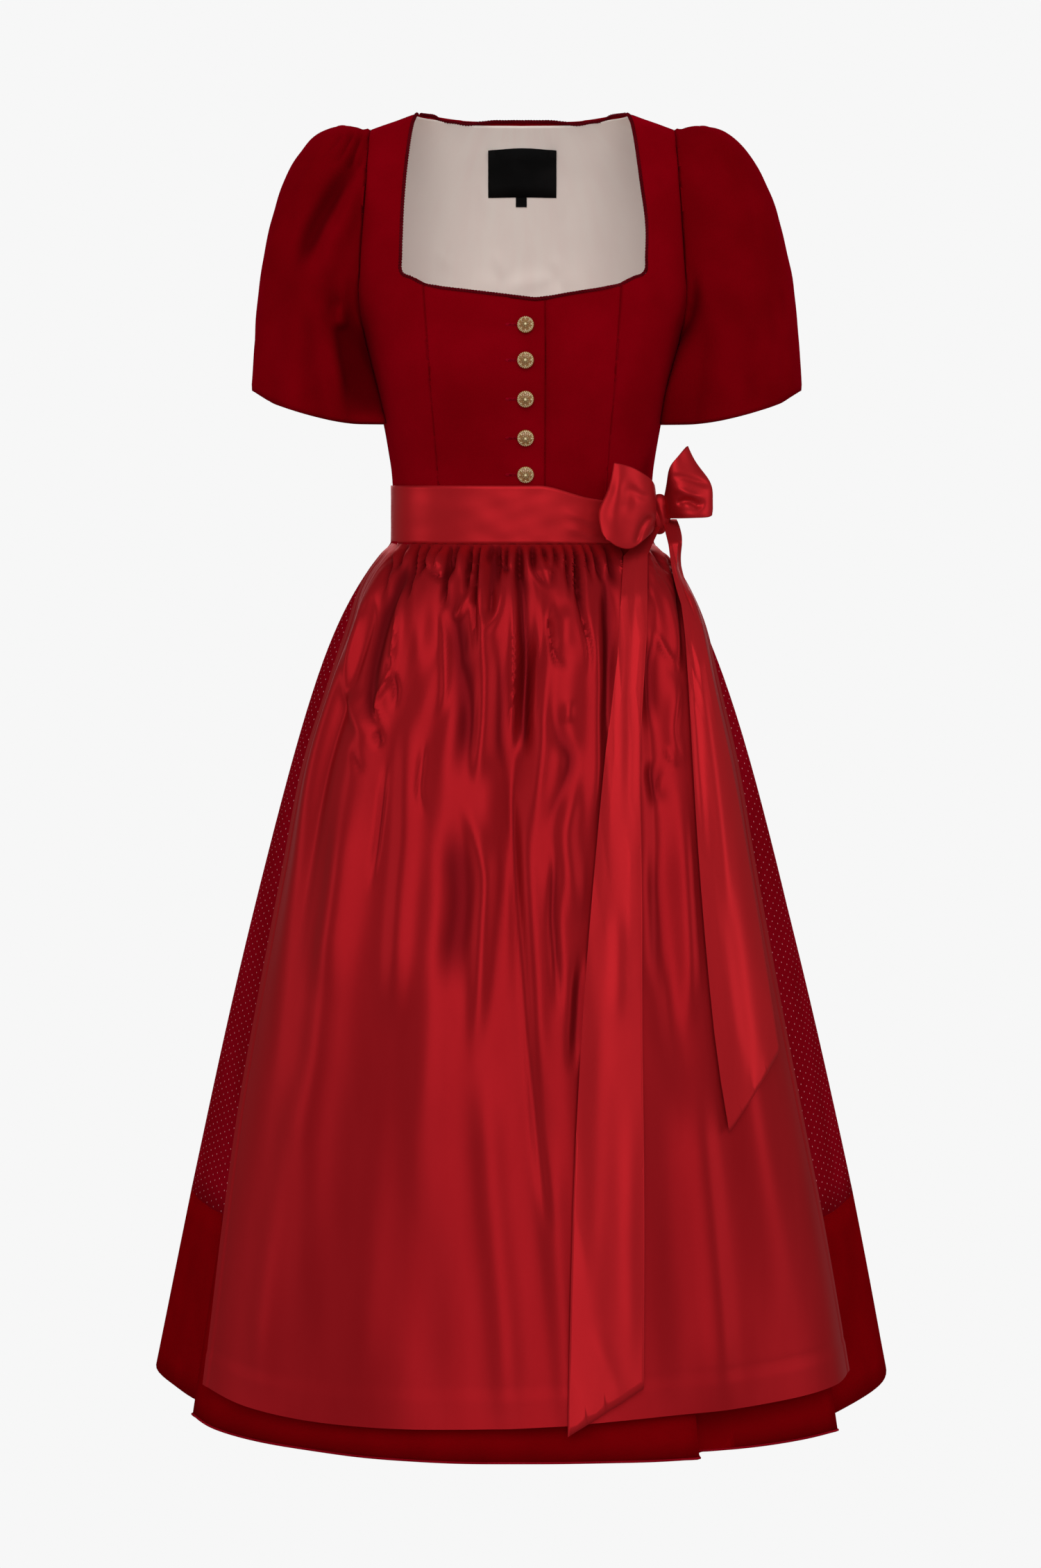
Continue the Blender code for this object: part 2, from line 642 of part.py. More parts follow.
def edge_cord(name, edge, inward):
    """Builds the piping that sits on an edge of (angle, path) points, moved into the neck opening."""
    points = []
    for index, (angle, path) in enumerate(edge):
        after = edge[min(index + 1, len(edge) - 1)]
        before = edge[max(index - 1, 0)]
        along = (torso_point(*after) - torso_point(*before)).normalized()
        normal = torso_normal(angle, path)
        into = along.cross(normal) * inward
        here = torso_point(angle, path) - normal * (0.5 * VELVET)
        points.append(here + into.normalized() * (PIPE_RADIUS + PIPE_GAP))
    return tube(name, points, PIPE_RADIUS, PIPE_SIDES, "piping")


def build_piping():
    """Builds the corded piping round the neckline, parted at the shoulders and at the front lap."""
    strap = [(row[0], row[1]) for row in reversed(SIDE_FRONT_ROWS) if row[0] is not None]
    for side, stops in ((1, PIPE_LEFT_STOPS), (-1, PIPE_RIGHT_STOPS)):
        edge = [(side * angle_at_x(x, path), path + PIPE_DROP) for x, path in strap]
        edge.append((side * angle_at_x(princess_x(NECK_END_PATH), NECK_END_PATH), NECK_END_PATH))
        for x in stops:
            edge.append((angle_at_x(x, neck_path(x)), neck_path(x)))
        edge_cord("neck_piping_" + ("left" if side > 0 else "right"), edge, float(side))
    top = back_lattice()[-1]
    middle = len(top) // 2
    neck = top[middle - BACK_NECK_COLUMN:middle + BACK_NECK_COLUMN + 1]
    fine = []
    for (angle, path), (next_angle, next_path) in zip(neck, neck[1:]):
        fine.append((angle, path))
        fine.append((0.5 * (angle + next_angle), 0.5 * (path + next_path)))
    fine.append(neck[-1])
    fine[0] = (fine[0][0] - PIPE_END_TURN, PIPE_END_PATH)
    fine[-1] = (fine[-1][0] + PIPE_END_TURN, PIPE_END_PATH)
    edge_cord("neck_piping_back", fine, 1.0)


def armhole_edge():
    """Returns the angles and paths of the front armhole, from the shoulder tip down to the side seam."""
    rows = [(row[2], row[3]) for row in reversed(SIDE_FRONT_ROWS) if row[3] <= SIDE_SEAM_TOP]
    return [row for row in rows if row[0] <= 90.0]


def armhole_point(share, side):
    """Returns a point of the armhole, share 0 at the shoulder tip, 0.5 under the arm, by way of the front."""
    rows = armhole_edge()
    lengths = [0.0]
    for before, after in zip(rows, rows[1:]):
        lengths.append(lengths[-1] + (torso_point(*after) - torso_point(*before)).length)
    table = tuple((length / lengths[-1], angle, path) for length, (angle, path) in zip(lengths, rows))
    folded = 2.0 * share if share <= 0.5 else 2.0 * (1.0 - share)
    angle, path = table_row(table, folded)
    if share > 0.5:
        angle = 180.0 - angle
    return torso_point(side * angle, path)


def sleeve_point(side, share, down):
    """Returns a point of the sleeve's outer face: share round it from the top, down from head to hem."""
    start = armhole_point(share, side)
    turn = 2.0 * math.pi * share
    top = 0.5 * (1.0 + math.cos(turn))
    hem = SLEEVE_HEM_CENTRE.copy()
    hem.x += SLEEVE_LEFT_SHIFT if side > 0 else 0.0
    hem.x += SLEEVE_HEM_HALF_WIDTH * math.cos(turn)
    hem.y -= SLEEVE_HEM_HALF_DEPTH * math.sin(turn)
    hem.z += SLEEVE_HEM_TILT * SLEEVE_HEM_HALF_WIDTH * math.cos(turn)
    hem.z -= SLEEVE_HEM_FRONT_DROP * math.sin(turn) ** 2
    hem.x *= side
    lead = Vector((side * (SLEEVE_LEAD_OUT + SHOULDER_LEAD_OUT * top), -SLEEVE_LEAD_FRONT * math.sin(turn),
                   SHOULDER_LEAD_UP * top ** 3 - SLEEVE_LEAD_DOWN))
    fall = Vector((-side * SLEEVE_FALL_IN * top, 0.0, SLEEVE_FALL_UP + SHOULDER_FALL_UP * top))
    stay = 1.0 - down
    near_start = start * stay ** 3 + (start + lead) * 3.0 * down * stay ** 2
    near_hem = (hem + fall) * 3.0 * down ** 2 * stay + hem * down ** 3
    return near_start + near_hem


def sleeve_out(side, share, down, out):
    """Returns the sleeve's point moved out, with its head gathers and hanging folds."""
    def here(a, b):
        return sleeve_point(side, a % 1.0, min(max(b, 0.0), 1.0))
    around = here(share + 0.5 * SLEEVE_STEP, down) - here(share - 0.5 * SLEEVE_STEP, down)
    low = min(max(down, SLEEVE_STEP), 1.0 - SLEEVE_STEP)
    along = here(share, low + SLEEVE_STEP) - here(share, low - SLEEVE_STEP)
    normal = around.cross(along).normalized()
    normal *= 1.0 if normal.dot(here(share, low) - sleeve_axis(side, low)) > 0.0 else -1.0
    turn = 360.0 * share
    relief = 0.0
    for angle, half, depth in SLEEVE_FOLDS:
        away = (turn - angle + 180.0) % 360.0 - 180.0
        relief += depth * bell(away, half) * ease(*SLEEVE_FOLD_RANGE, down) * (
            1.0 if side < 0 else SLEEVE_LEFT_FOLDS)
    head = (turn + 180.0) % 360.0 - 180.0
    gather = SLEEVE_GATHER_DEPTH * math.cos(math.radians(head) * 0.5 * SLEEVE_COLUMNS)
    relief += gather * bell(head, SLEEVE_GATHER_TURN) * bell(down - SLEEVE_GATHER_PLACE, SLEEVE_GATHER_FADE)
    return here(share, down) + normal * (out + relief)


def sleeve_axis(side, down):
    """Returns the middle of the sleeve at a share of the way down."""
    front, back = sleeve_point(side, 0.25, down), sleeve_point(side, 0.75, down)
    upper, lower = sleeve_point(side, 0.0, down), sleeve_point(side, 0.5, down)
    return (front + back + upper + lower) * 0.25


def build_sleeve(side):
    """Builds one short puffed sleeve as an open tube."""
    outer, inner = [], []
    for r in range(SLEEVE_ROWS + 1):
        down = SLEEVE_START + (1.0 - SLEEVE_START) * (r / SLEEVE_ROWS) ** SLEEVE_ROW_POWER
        shares = [c / SLEEVE_COLUMNS for c in range(SLEEVE_COLUMNS)]
        outer.append([sleeve_out(side, share, down, 0.0) for share in shares])
        inner.append([sleeve_out(side, share, down, -VELVET) for share in shares])
    shift = Vector((side * SLEEVE_GAP, 0.0, 0.0))
    outer = [[point + shift for point in row] for row in outer]
    inner = [[point + shift for point in row] for row in inner]
    wall("sleeve_left" if side > 0 else "sleeve_right", outer, inner, "velvet", ring=True)


def build_buttons():
    """Builds the domed buttons down the front lap."""
    for number, height in enumerate(BUTTON_HEIGHTS, start=1):
        path = PATH_SHIFT - height
        angle = angle_at_x(BUTTON_X, path)
        normal = torso_normal(angle, path)
        seat = torso_point(angle, path) + normal * BUTTON_GAP
        shape = bmesh.new()
        profile = [shape.verts.new((BUTTON_RADIUS * share, 0.0, rise)) for share, rise in BUTTON_PROFILE]
        foot = shape.verts.new((0.0, 0.0, 0.0))
        edges = [shape.edges.new(pair) for pair in zip([foot] + profile, profile)]
        bmesh.ops.spin(shape, geom=profile + [foot] + edges, cent=(0, 0, 0), axis=(0, 0, 1),
                       angle=2.0 * math.pi, steps=BUTTON_STEPS, use_merge=True)
        bmesh.ops.remove_doubles(shape, verts=shape.verts, dist=0.00001)
        bmesh.ops.recalc_face_normals(shape, faces=shape.faces)
        bmesh.ops.rotate(shape, verts=shape.verts, cent=(0, 0, 0),
                         matrix=normal.to_track_quat("Z", "Y").to_matrix())
        bmesh.ops.translate(shape, verts=shape.verts, vec=seat)
        mesh = bpy.data.meshes.new("button_%d" % number)
        shape.to_mesh(mesh)
        shape.free()
        add_object("button_%d" % number, mesh, "gold")


def build_label():
    """Builds the bare neck label and its small tab, lying on the lining."""
    inner_face = -(VELVET + 2.0 * SEAM + LINING)
    for name, width, height, top, shift, columns in (
            ("neck_label", LABEL_WIDTH, LABEL_HEIGHT, LABEL_TOP_PATH, 0.0, 8),
            ("size_tab", TAB_WIDTH, TAB_HEIGHT, LABEL_TOP_PATH + LABEL_HEIGHT + SEAM, -TAB_SHIFT, 2)):
        lattice = []
        for path in (top + height, top + 0.5 * height, top):
            row = []
            for c in range(columns + 1):
                x = shift + width * (c / columns - 0.5)
                row.append((180.0 - angle_at_x(x, path), path))
            lattice.append(row)
        torso_panel(name, lattice, "label_cloth", outer=inner_face - LABEL_SEAT, thickness=LABEL_WALL)


def pleat_table():
    """Returns the angles and shares of the skirt's reach all round the hem, with both sides of each fold."""
    rows = list(PLEAT_BELLIES)
    for angle, before, after in PLEATS:
        away = PLEAT_TURN if before > after else -PLEAT_TURN
        rows.append((angle, max(before, after)))
        rows.append((angle + away, min(before, after)))
    rows.sort()
    first, last = rows[0], rows[-1]
    return tuple([(last[0] - 360.0, last[1])] + rows + [(first[0] + 360.0, first[1])])


PLEAT_SHARES = pleat_table()


def linear_row(table, key):
    """Returns the second column of a table at a key between its rows, on straight lines."""
    for (k0, v0), (k1, v1) in zip(table, table[1:]):
        if key <= k1:
            return v0 + (v1 - v0) * max(0.0, (key - k0) / (k1 - k0))
    return table[-1][1]


def fall_share(height):
    """Returns 0 at the waistband's lower edge and 1 at the hem."""
    return min(max((BAND_BOTTOM - height) / (BAND_BOTTOM - SKIRT_HEM), 0.0), 1.0)


def skirt_reach(angle, height, share):
    """Returns the point of the skirt's oval at an angle, pulled in to a share of its reach at the hem."""
    half_width, front, back = table_row(SKIRT, height)
    x, y = round_section(angle, half_width, front, back)
    fall = fall_share(height)
    pull = 1.0 + (share - 1.0) * fall ** FOLD_POWER
    return Vector((x * pull + SKIRT_SWAY * ease(0.0, SWAY_END, fall), y * pull, height))


def skirt_point(angle, height):
    """Returns the point of the skirt's outer face."""
    wrapped = (angle + 180.0) % 360.0 - 180.0
    return skirt_reach(angle, height, linear_row(PLEAT_SHARES, wrapped))


def skirt_out(angle, height, out):
    """Returns the skirt's point moved out."""
    normal = surface_normal(skirt_point, angle, height, SKIRT_TURN_STEP, -SKIRT_FALL_STEP)
    return skirt_point(angle, height) + normal * out


def panel_angles(first, last):
    """Returns the angles of a skirt panel's columns, with one on each side of every fold in it."""
    stops = [a for a, _ in PLEAT_SHARES if first + TURN_STEP < a < last - TURN_STEP]
    stops = [first] + stops + [last]
    angles = []
    for a, b in zip(stops, stops[1:]):
        steps = max(1, round((b - a) / SKIRT_STEP))
        angles.extend(a + (b - a) * k / steps for k in range(steps))
    return angles + [last]


def build_skirt():
    """Builds the skirt's dotted panels and the plain bands that finish its hem."""
    for name, first, last in SKIRT_PANELS:
        angles = panel_angles(first, last)
        for prefix, levels, finish in (("skirt_", SKIRT_LEVELS + (HEM_BAND_SEAM,), "dotted_cloth"),
                                       ("hem_band_", HEM_LEVELS, "hem_cloth")):
            outer, inner = [], []
            for index, level in enumerate(levels):
                height = level
                if prefix == "hem_band_" and index == 0:
                    height = level - SEAM
                half = math.degrees(0.5 * SEAM / table_row(SKIRT, height)[1])
                row = [angles[0] + 2.0 * half] + angles[1:-1] + [angles[-1] - 2.0 * half]
                outer.append([skirt_out(a, height, 0.0) for a in row])
                inner.append([skirt_out(a, height, -SKIRT_CLOTH) for a in row])
            wall(prefix + name, outer, inner, finish)


@functools.lru_cache(maxsize=None)
def apron_edge(side, height):
    """Returns the angle of the apron's edge on one side at a height."""
    reach = table_row(APRON_EDGES, height)[0 if side < 0 else 1]
    return side * angle_reaching(reach, lambda angle: side * apron_base(side * angle, height).x)


def apron_frame(share_across, share_down):
    """Returns the angle and height of a place on the apron."""
    height = BAND_BOTTOM - SEAM + (APRON_HEM_CENTRE - BAND_BOTTOM) * share_down
    right, left = apron_edge(-1, height), apron_edge(1, height)
    angle = right + (left - right) * share_across
    hem = table_row(APRON_HEM, angle)[0]
    return angle, height + (hem - APRON_HEM_CENTRE) * share_down ** 2


def apron_base(angle, height, lift=0.0):
    """Returns the smooth hanging form of the apron, moved out level by lift."""
    share = table_row(APRON_HANG, min(max(angle, -90.0), 90.0))[0]
    point = skirt_reach(angle, height, share)
    away = Vector((point.x, point.y, 0.0)).normalized()
    return point + away * (APRON_SEAT + APRON_LIFT * ease(0.0, APRON_LIFT_RANGE, fall_share(height)) + lift)


def apron_calm(share_across):
    """Returns 0 at the apron's side edges, which lie close to the skirt, and 1 between them."""
    return ease(0.0, APRON_EDGE_CALM, share_across) * ease(0.0, APRON_EDGE_CALM, 1.0 - share_across)


def gather_strength(share_down):
    """Returns how strong the gathers are at a share of the apron's length."""
    return ease(0.0, GATHER_START, share_down) * (1.0 - ease(*GATHER_FADE, share_down))


def apron_swell(share_across, share_down):
    """Returns how far the apron stands out over its folds, without the gathers between them."""
    puff = APRON_PUFF * ease(0.0, APRON_PUFF_FULL, share_down) * (1.0 - ease(*APRON_PUFF_FADE, share_down))
    swell = puff * apron_calm(share_across)
    for place, half, depth, start, end in APRON_FOLDS:
        run = ease(start, start + FOLD_OPENS, share_down) * (1.0 - ease(end - FOLD_FADES, end, share_down))
        swell += depth * bell(share_across - place, half) * run
    return swell


def apron_relief(share_across, share_down):
    """Returns the height of the gathers and main folds of the apron."""
    wave = 1.0 - math.cos(2.0 * math.pi * APRON_GATHERS * share_across)
    gathers = GATHER_DEPTH * wave * gather_strength(share_down) * apron_calm(share_across)
    return gathers + apron_swell(share_across, share_down)


def apron_out(share_across, share_down, out):
    """Returns the apron's outer point moved out."""
    def here(a, d):
        angle, height = apron_frame(a, d)
        return apron_base(angle, height, apron_relief(a, d))
    around = here(share_across + APRON_STEP, share_down) - here(share_across - APRON_STEP, share_down)
    down = here(share_across, share_down + APRON_STEP) - here(share_across, max(share_down - APRON_STEP, 0.0))
    normal = down.cross(around).normalized()
    normal.z *= ease(0.0, APRON_LEVEL_RANGE, share_down)
    return here(share_across, share_down) + normal.normalized() * out


def build_apron():
    """Builds the gathered apron in one panel."""
    columns = 4 * APRON_GATHERS
    below = [z for z in SKIRT_LEVELS + HEM_LEVELS[:2] if z < BAND_BOTTOM]
    levels = [BAND_BOTTOM] + below + [APRON_HEM_CENTRE]
    shares = [(BAND_BOTTOM - z) / (BAND_BOTTOM - APRON_HEM_CENTRE) for z in levels]
    outer = [[apron_out(c / columns, d, SATIN) for c in range(columns + 1)] for d in shares]
    inner = [[apron_out(c / columns, d, 0.0) for c in range(columns + 1)] for d in shares]
    wall("apron", outer, inner, "apron_satin")


def sash_point(angle, height, out):
    """Returns a point of the sash, which lies on the waist."""
    path = PATH_SHIFT - height
    half_width, front, back = table_row(TORSO, path)[1:4]
    x, y = round_section(angle, half_width + out, front + out, back + out)
    return Vector((x, y, height))


def band_dip(angle):
    """Returns how far the waistband's upper edge dips under the bow."""
    return BAND_DIP * ease(*BAND_DIP_STARTS, angle) * (1.0 - ease(*BAND_DIP_ENDS, angle))


def build_sash():
    """Builds the apron's waistband at the front and the tie that goes round the back."""
    for name, first, last in (("waistband", *BAND_ENDS), ("sash_back", BAND_ENDS[1], BAND_ENDS[0] + 360.0)):
        steps = round((last - first) / SASH_STEP)
        outer, inner = [], []
        for share in (0.0, 0.5, 1.0):
            row_out, row_in = [], []
            for k in range(steps + 1):
                parted = first + BAND_PARTING, last - BAND_PARTING
                angle = parted[0] + (parted[1] - parted[0]) * k / steps
                top = BAND_TOP - band_dip(angle)
                height = top + (BAND_BOTTOM - top) * share
                row_out.append(sash_point(angle, height, SASH_INSET + SATIN))
                row_in.append(sash_point(angle, height, SASH_INSET))
            outer.append(row_out)
            inner.append(row_in)
        wall(name, outer, inner, "apron_satin")


def knot_frame():
    """Returns the knot's centre and the directions out of the waist and along it."""
    seat = sash_point(KNOT_ANGLE, KNOT_HEIGHT, SASH_INSET + SATIN)
    tangent = (sash_point(KNOT_ANGLE + TURN_STEP, KNOT_HEIGHT, SATIN)
               - sash_point(KNOT_ANGLE - TURN_STEP, KNOT_HEIGHT, SATIN))
    normal = tangent.cross(Vector((0.0, 0.0, 1.0))).normalized()
    out = BOW_FACING.normalized()
    along = Vector((-out.y, out.x, 0.0))
    reach = math.hypot(KNOT_HALF_WIDTH * normal.dot(along), KNOT_HALF_DEPTH * normal.dot(out))
    return seat + normal * (reach + SEAM), out, along


def build_knot():
    """Builds the bow's knot, a soft rounded block."""
    centre, out, along = knot_frame()
    shape = bmesh.new()
    bmesh.ops.create_uvsphere(shape, u_segments=14, v_segments=9, radius=1.0)
    for vertex in shape.verts:
        a, b, c = vertex.co
        vertex.co = centre - along * (a * KNOT_HALF_WIDTH) + out * (b * KNOT_HALF_DEPTH) + Vector(
            (0.0, 0.0, c * KNOT_HALF_HEIGHT))
    bmesh.ops.recalc_face_normals(shape, faces=shape.faces)
    mesh = bpy.data.meshes.new("bow_knot")
    shape.to_mesh(mesh)
    shape.free()
    add_object("bow_knot", mesh, "apron_satin")


def loop_point(name, turn, across):
    """Returns the point of a bow loop: turn 0 to 180 degrees goes out and back, across from its top."""
    knot_top, knot_low, end_top, end_low = (Vector(corner) for corner in LOOP_CORNERS[name])
    run = (end_top + end_low) - (knot_top + knot_low)
    away = Vector((-run.y, run.x, 0.0)).normalized()
    away *= 1.0 if away.y < 0.0 else -1.0
    share = math.sin(math.radians(turn))
    middle = knot_top.lerp(knot_low, across).lerp(end_top.lerp(end_low, across), share)
    cup = 1.0 - LOOP_CUP * (2.0 * across - 1.0) ** 2
    depth = -math.cos(math.radians(turn)) * (LOOP_THIN + LOOP_SWELL * share * cup)
    return middle + away * (depth + LOOP_ARCH * math.sin(math.pi * share))


def build_loop(name):
    """Builds one bow loop: a ribbon that leaves the knot, turns at its outer end and comes back."""
    outer, inner = [], []
    for step in range(LOOP_PATH_STEPS + 1):
        turn = 180.0 * step / LOOP_PATH_STEPS
        row_out, row_in = [], []
        for k in range(LOOP_WIDTH_STEPS + 1):
            w = k / LOOP_WIDTH_STEPS
            point = loop_point(name, turn, w)
            on = loop_point(name, turn + LOOP_TURN_STEP, w) - loop_point(name, turn - LOOP_TURN_STEP, w)
            down = loop_point(name, turn, w + LOOP_WIDTH_STEP) - loop_point(name, turn, w - LOOP_WIDTH_STEP)
            normal = on.cross(down).normalized()
            row_out.append(point + normal * (0.5 * SATIN))
            row_in.append(point - normal * (0.5 * SATIN))
        outer.append(row_out)
        inner.append(row_in)
    wall(name, outer, inner, "apron_satin")


def tail_point(x, height, out):
    """Returns the point that lies out in front of the apron, at a distance x from the centre."""
    down = min((BAND_BOTTOM - height) / (BAND_BOTTOM - APRON_HEM_CENTRE), 1.0)
    first, last = apron_edge(-1, height), apron_edge(1, height)

    def over_apron(angle):
        across = min((angle - first) / (last - first), 1.0)
        gathers = 2.0 * GATHER_DEPTH * gather_strength(down) * apron_calm(across)
        return apron_base(angle, height, SATIN + TAIL_CLEAR + gathers + apron_swell(across, down) + out)
    return over_apron(angle_reaching(x, lambda angle: over_apron(angle).x))


def build_tail(name, table, slant):
    """Builds one hanging end of the bow, cut slanting at the bottom."""
    top, bottom = table[0][0], table[-1][0]
    outer, inner = [], []
    for r in range(TAIL_ROWS + 1):
        share = (r / TAIL_ROWS) ** TAIL_ROW_POWER
        row_out, row_in = [], []
        for k in range(TAIL_COLUMNS + 1):
            w = k / TAIL_COLUMNS
            height = top + (bottom + slant * w - top) * share
            right, left, free_y, laid = table_row(table, height)
            x = right + (left - right) * w
            outside, inside = tail_point(x, height, SATIN), tail_point(x, height, 0.0)
            row_out.append(Vector((x, free_y - SATIN, height)).lerp(outside, laid))
            row_in.append(Vector((x, free_y, height)).lerp(inside, laid))
        outer.append(row_out)
        inner.append(row_in)
    wall(name, outer, inner, "apron_satin")


def main():
    """Builds every piece of the dirndl."""
    clear_scene()
    build_fronts()
    for side in (1, -1):
        build_side_front(side)
        build_sleeve(side)
    build_back()
    build_label()
    build_piping()
    build_buttons()
    build_skirt()
    build_apron()
    build_sash()
    build_knot()
    for name in LOOP_CORNERS:
        build_loop(name)
    build_tail("bow_tail_front", TAIL_FRONT, TAIL_FRONT_SLANT)
    build_tail("bow_tail_side", TAIL_SIDE, TAIL_SIDE_SLANT)


main()
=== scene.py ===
"""The looks of a worn dirndl: velvet bodice, dotted skirt, satin apron, sash and bow, in soft studio light.

Metres, +Z up, the front faces -Y and +X is the wearer's left. Every cloth piece is a finer shell on the form
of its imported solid, with its creases drawn on in the garment's own sizes.
"""
import json
import logging
import math
from dataclasses import dataclass
from enum import Enum
from typing import Iterable, Sequence

import bmesh
import bpy
import numpy as np
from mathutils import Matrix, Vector
from mathutils.bvhtree import BVHTree
from mathutils.kdtree import KDTree

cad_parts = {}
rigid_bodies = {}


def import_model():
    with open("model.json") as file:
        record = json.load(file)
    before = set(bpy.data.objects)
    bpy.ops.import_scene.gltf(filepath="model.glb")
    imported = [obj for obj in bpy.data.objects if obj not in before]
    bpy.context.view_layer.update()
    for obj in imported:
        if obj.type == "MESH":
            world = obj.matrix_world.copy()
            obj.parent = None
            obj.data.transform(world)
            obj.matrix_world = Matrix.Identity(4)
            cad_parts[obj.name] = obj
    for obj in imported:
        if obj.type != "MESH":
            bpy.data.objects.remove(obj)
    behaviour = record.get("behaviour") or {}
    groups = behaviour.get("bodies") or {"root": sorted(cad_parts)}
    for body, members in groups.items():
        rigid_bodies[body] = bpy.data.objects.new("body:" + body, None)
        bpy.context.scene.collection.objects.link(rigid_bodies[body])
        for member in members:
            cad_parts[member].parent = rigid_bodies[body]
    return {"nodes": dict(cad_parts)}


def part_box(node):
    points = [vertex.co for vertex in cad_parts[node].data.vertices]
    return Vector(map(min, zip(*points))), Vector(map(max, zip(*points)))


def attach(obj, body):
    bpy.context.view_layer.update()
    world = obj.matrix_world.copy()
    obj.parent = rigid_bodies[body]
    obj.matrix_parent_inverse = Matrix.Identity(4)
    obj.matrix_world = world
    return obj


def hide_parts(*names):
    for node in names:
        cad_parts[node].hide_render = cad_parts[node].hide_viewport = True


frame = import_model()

LOG = logging.getLogger("dirndl")
Array = np.ndarray
Piece = bpy.types.Object
Socket = bpy.types.NodeSocket
Span = tuple[float, float]
Point = tuple[float, float]
Point3 = tuple[float, float, float]
Colour = tuple[float, float, float, float]

BODY = "root"
MM = 0.001
# Places closer than this are one place
MERGE = 0.00001
# The waistband's lower edge, from which the skirt and the apron hang
BAND_BOTTOM = -0.4142
# How a solid's triangles join into four-sided faces: up to which bend, and how much even faces are preferred
JOIN_ANGLE = math.radians(60.0)
JOIN_SQUARENESS = 8.0
# A bend sharper than this is the cut edge of a wall of cloth
RIM_ANGLE = math.radians(52.0)
SMOOTH_ANGLE = math.radians(50.0)
# How far a cut edge grows into its seam, and the widest gap that counts as a seam
SEAM_CLOSING = 0.0002
SEAM_REACH = 0.0030
# A piece keeps its solid's form up to the first distance from its neighbours, and is soft past the second
SEAM_STRIP = (0.0015, 0.0080)
# About one turn in radians, for waves that needn't close
TURN = 6.28
# How often Blender's band texture repeats in one unit
BANDS_PER_UNIT = 3.183


def ease(low: float, high: float, value: Array) -> Array:
    """Returns a smooth step that is 0 at low and 1 at high."""
    share = np.clip((value - low) / (high - low), 0.0, 1.0)
    return share * share * (3.0 - 2.0 * share)


def bell(distance: Array, half_width: Array | float) -> Array:
    """Returns 1 at distance 0, falling smoothly to 0 past the half width."""
    return np.exp(-np.square(distance / half_width))


def spline(keys: Array, values: Array, places: Array) -> Array:
    """Runs a smooth curve that passes each row of values.

    Args:
        keys: rising places of the rows.
        values: the rows, of any shape after the first axis.
        places: where the curve is read.

    Returns:
        One row of values for each place.
    """
    wide = (-1,) + (1,) * (values.ndim - 1)
    slopes = np.diff(values, axis=0) / np.diff(keys).reshape(wide)
    tangents = np.concatenate([slopes[:1], 0.5 * (slopes[1:] + slopes[:-1]), slopes[-1:]])
    index = np.clip(np.searchsorted(keys, places) - 1, 0, len(keys) - 2)
    span = (keys[index + 1] - keys[index]).reshape(wide)
    t = ((places - keys[index]).reshape(wide)) / span
    start = (2.0 * t ** 3 - 3.0 * t ** 2 + 1.0) * values[index]
    start_way = (t ** 3 - 2.0 * t ** 2 + t) * span * tangents[index]
    end = (3.0 * t ** 2 - 2.0 * t ** 3) * values[index + 1]
    end_way = (t ** 3 - t ** 2) * span * tangents[index + 1]
    return (start + start_way) + (end + end_way)


@dataclass(frozen=True)
class Crease:
    """A soft ridge or trough along a line in a flat view of the cloth, in millimetres.

    Each point is (across, down). A positive depth is a ridge. Fade is the share of the length over which each
    end dies out, and lean makes one side of the line softer than the other.
    """

    line: tuple[Point, ...]
    width: float
    depth: float
    fade: float = 0.35
    lean: float = 0.0
    fineness: int = 5

    def points(self) -> Array:
        """Returns the line as a smooth run of points in metres."""
        rough = np.array(self.line) * MM
        reach = np.concatenate([[0.0], np.cumsum(np.hypot(*np.diff(rough, axis=0).T))])
        return spline(reach, rough, np.linspace(0.0, reach[-1], self.fineness * len(rough)))

    def relief(self, across: Array, down: Array, points: Array | None = None) -> Array:
        """Returns the crease's height at places in the flat view.

        Args:
            across: the places' first coordinate, in metres.
            down: the places' second coordinate, in metres.
            points: the line itself, where it has been moved to another view.

        Returns:
            The height in metres, of the places' own shape.
        """
        run = self.points() if points is None else points
        low, high = run.min(axis=0), run.max(axis=0)
        room = 3.0 * self.width * MM * (1.0 + abs(self.lean))
        close = (across > low[0] - room) & (across < high[0] + room)
        close &= (down > low[1] - room) & (down < high[1] + room)
        total = np.zeros(across.shape)
        total[close] = self.height_near(across[close], down[close], run)
        return total

    def height_near(self, across: Array, down: Array, run: Array) -> Array:
        """Returns the crease's height at places that lie close to its line.

        Args:
            across: the places' first coordinate, in metres.
            down: the places' second coordinate, in metres.
            run: points along the line.

        Returns:
            The height in metres at each place.
        """
        nearest = np.full(across.shape, np.inf)
        along = np.zeros(across.shape)
        side = np.zeros(across.shape)
        passed = 0.0
        for start, step in zip(run, np.diff(run, axis=0)):
            length = math.hypot(*step)
            from_x, from_y = across - start[0], down - start[1]
            t = np.clip((from_x * step[0] + from_y * step[1]) / length ** 2, 0.0, 1.0)
            away = np.hypot(from_x - t * step[0], from_y - t * step[1])
            near = away < nearest
            nearest = np.where(near, away, nearest)
            along = np.where(near, passed + t * length, along)
            side = np.where(near, np.sign(step[0] * from_y - step[1] * from_x), side)
            passed += length
        share = along / passed
        ends = ease(0.0, self.fade, share) * ease(0.0, self.fade, 1.0 - share)
        return self.depth * MM * bell(nearest, self.width * MM * (1.0 - self.lean * side)) * ends


def relief_of(creases: Iterable[Crease], across: Array, down: Array) -> Array:
    """Returns the summed height of several creases at places in their flat view."""
    return sum((crease.relief(across, down) for crease in creases), np.zeros(across.shape))


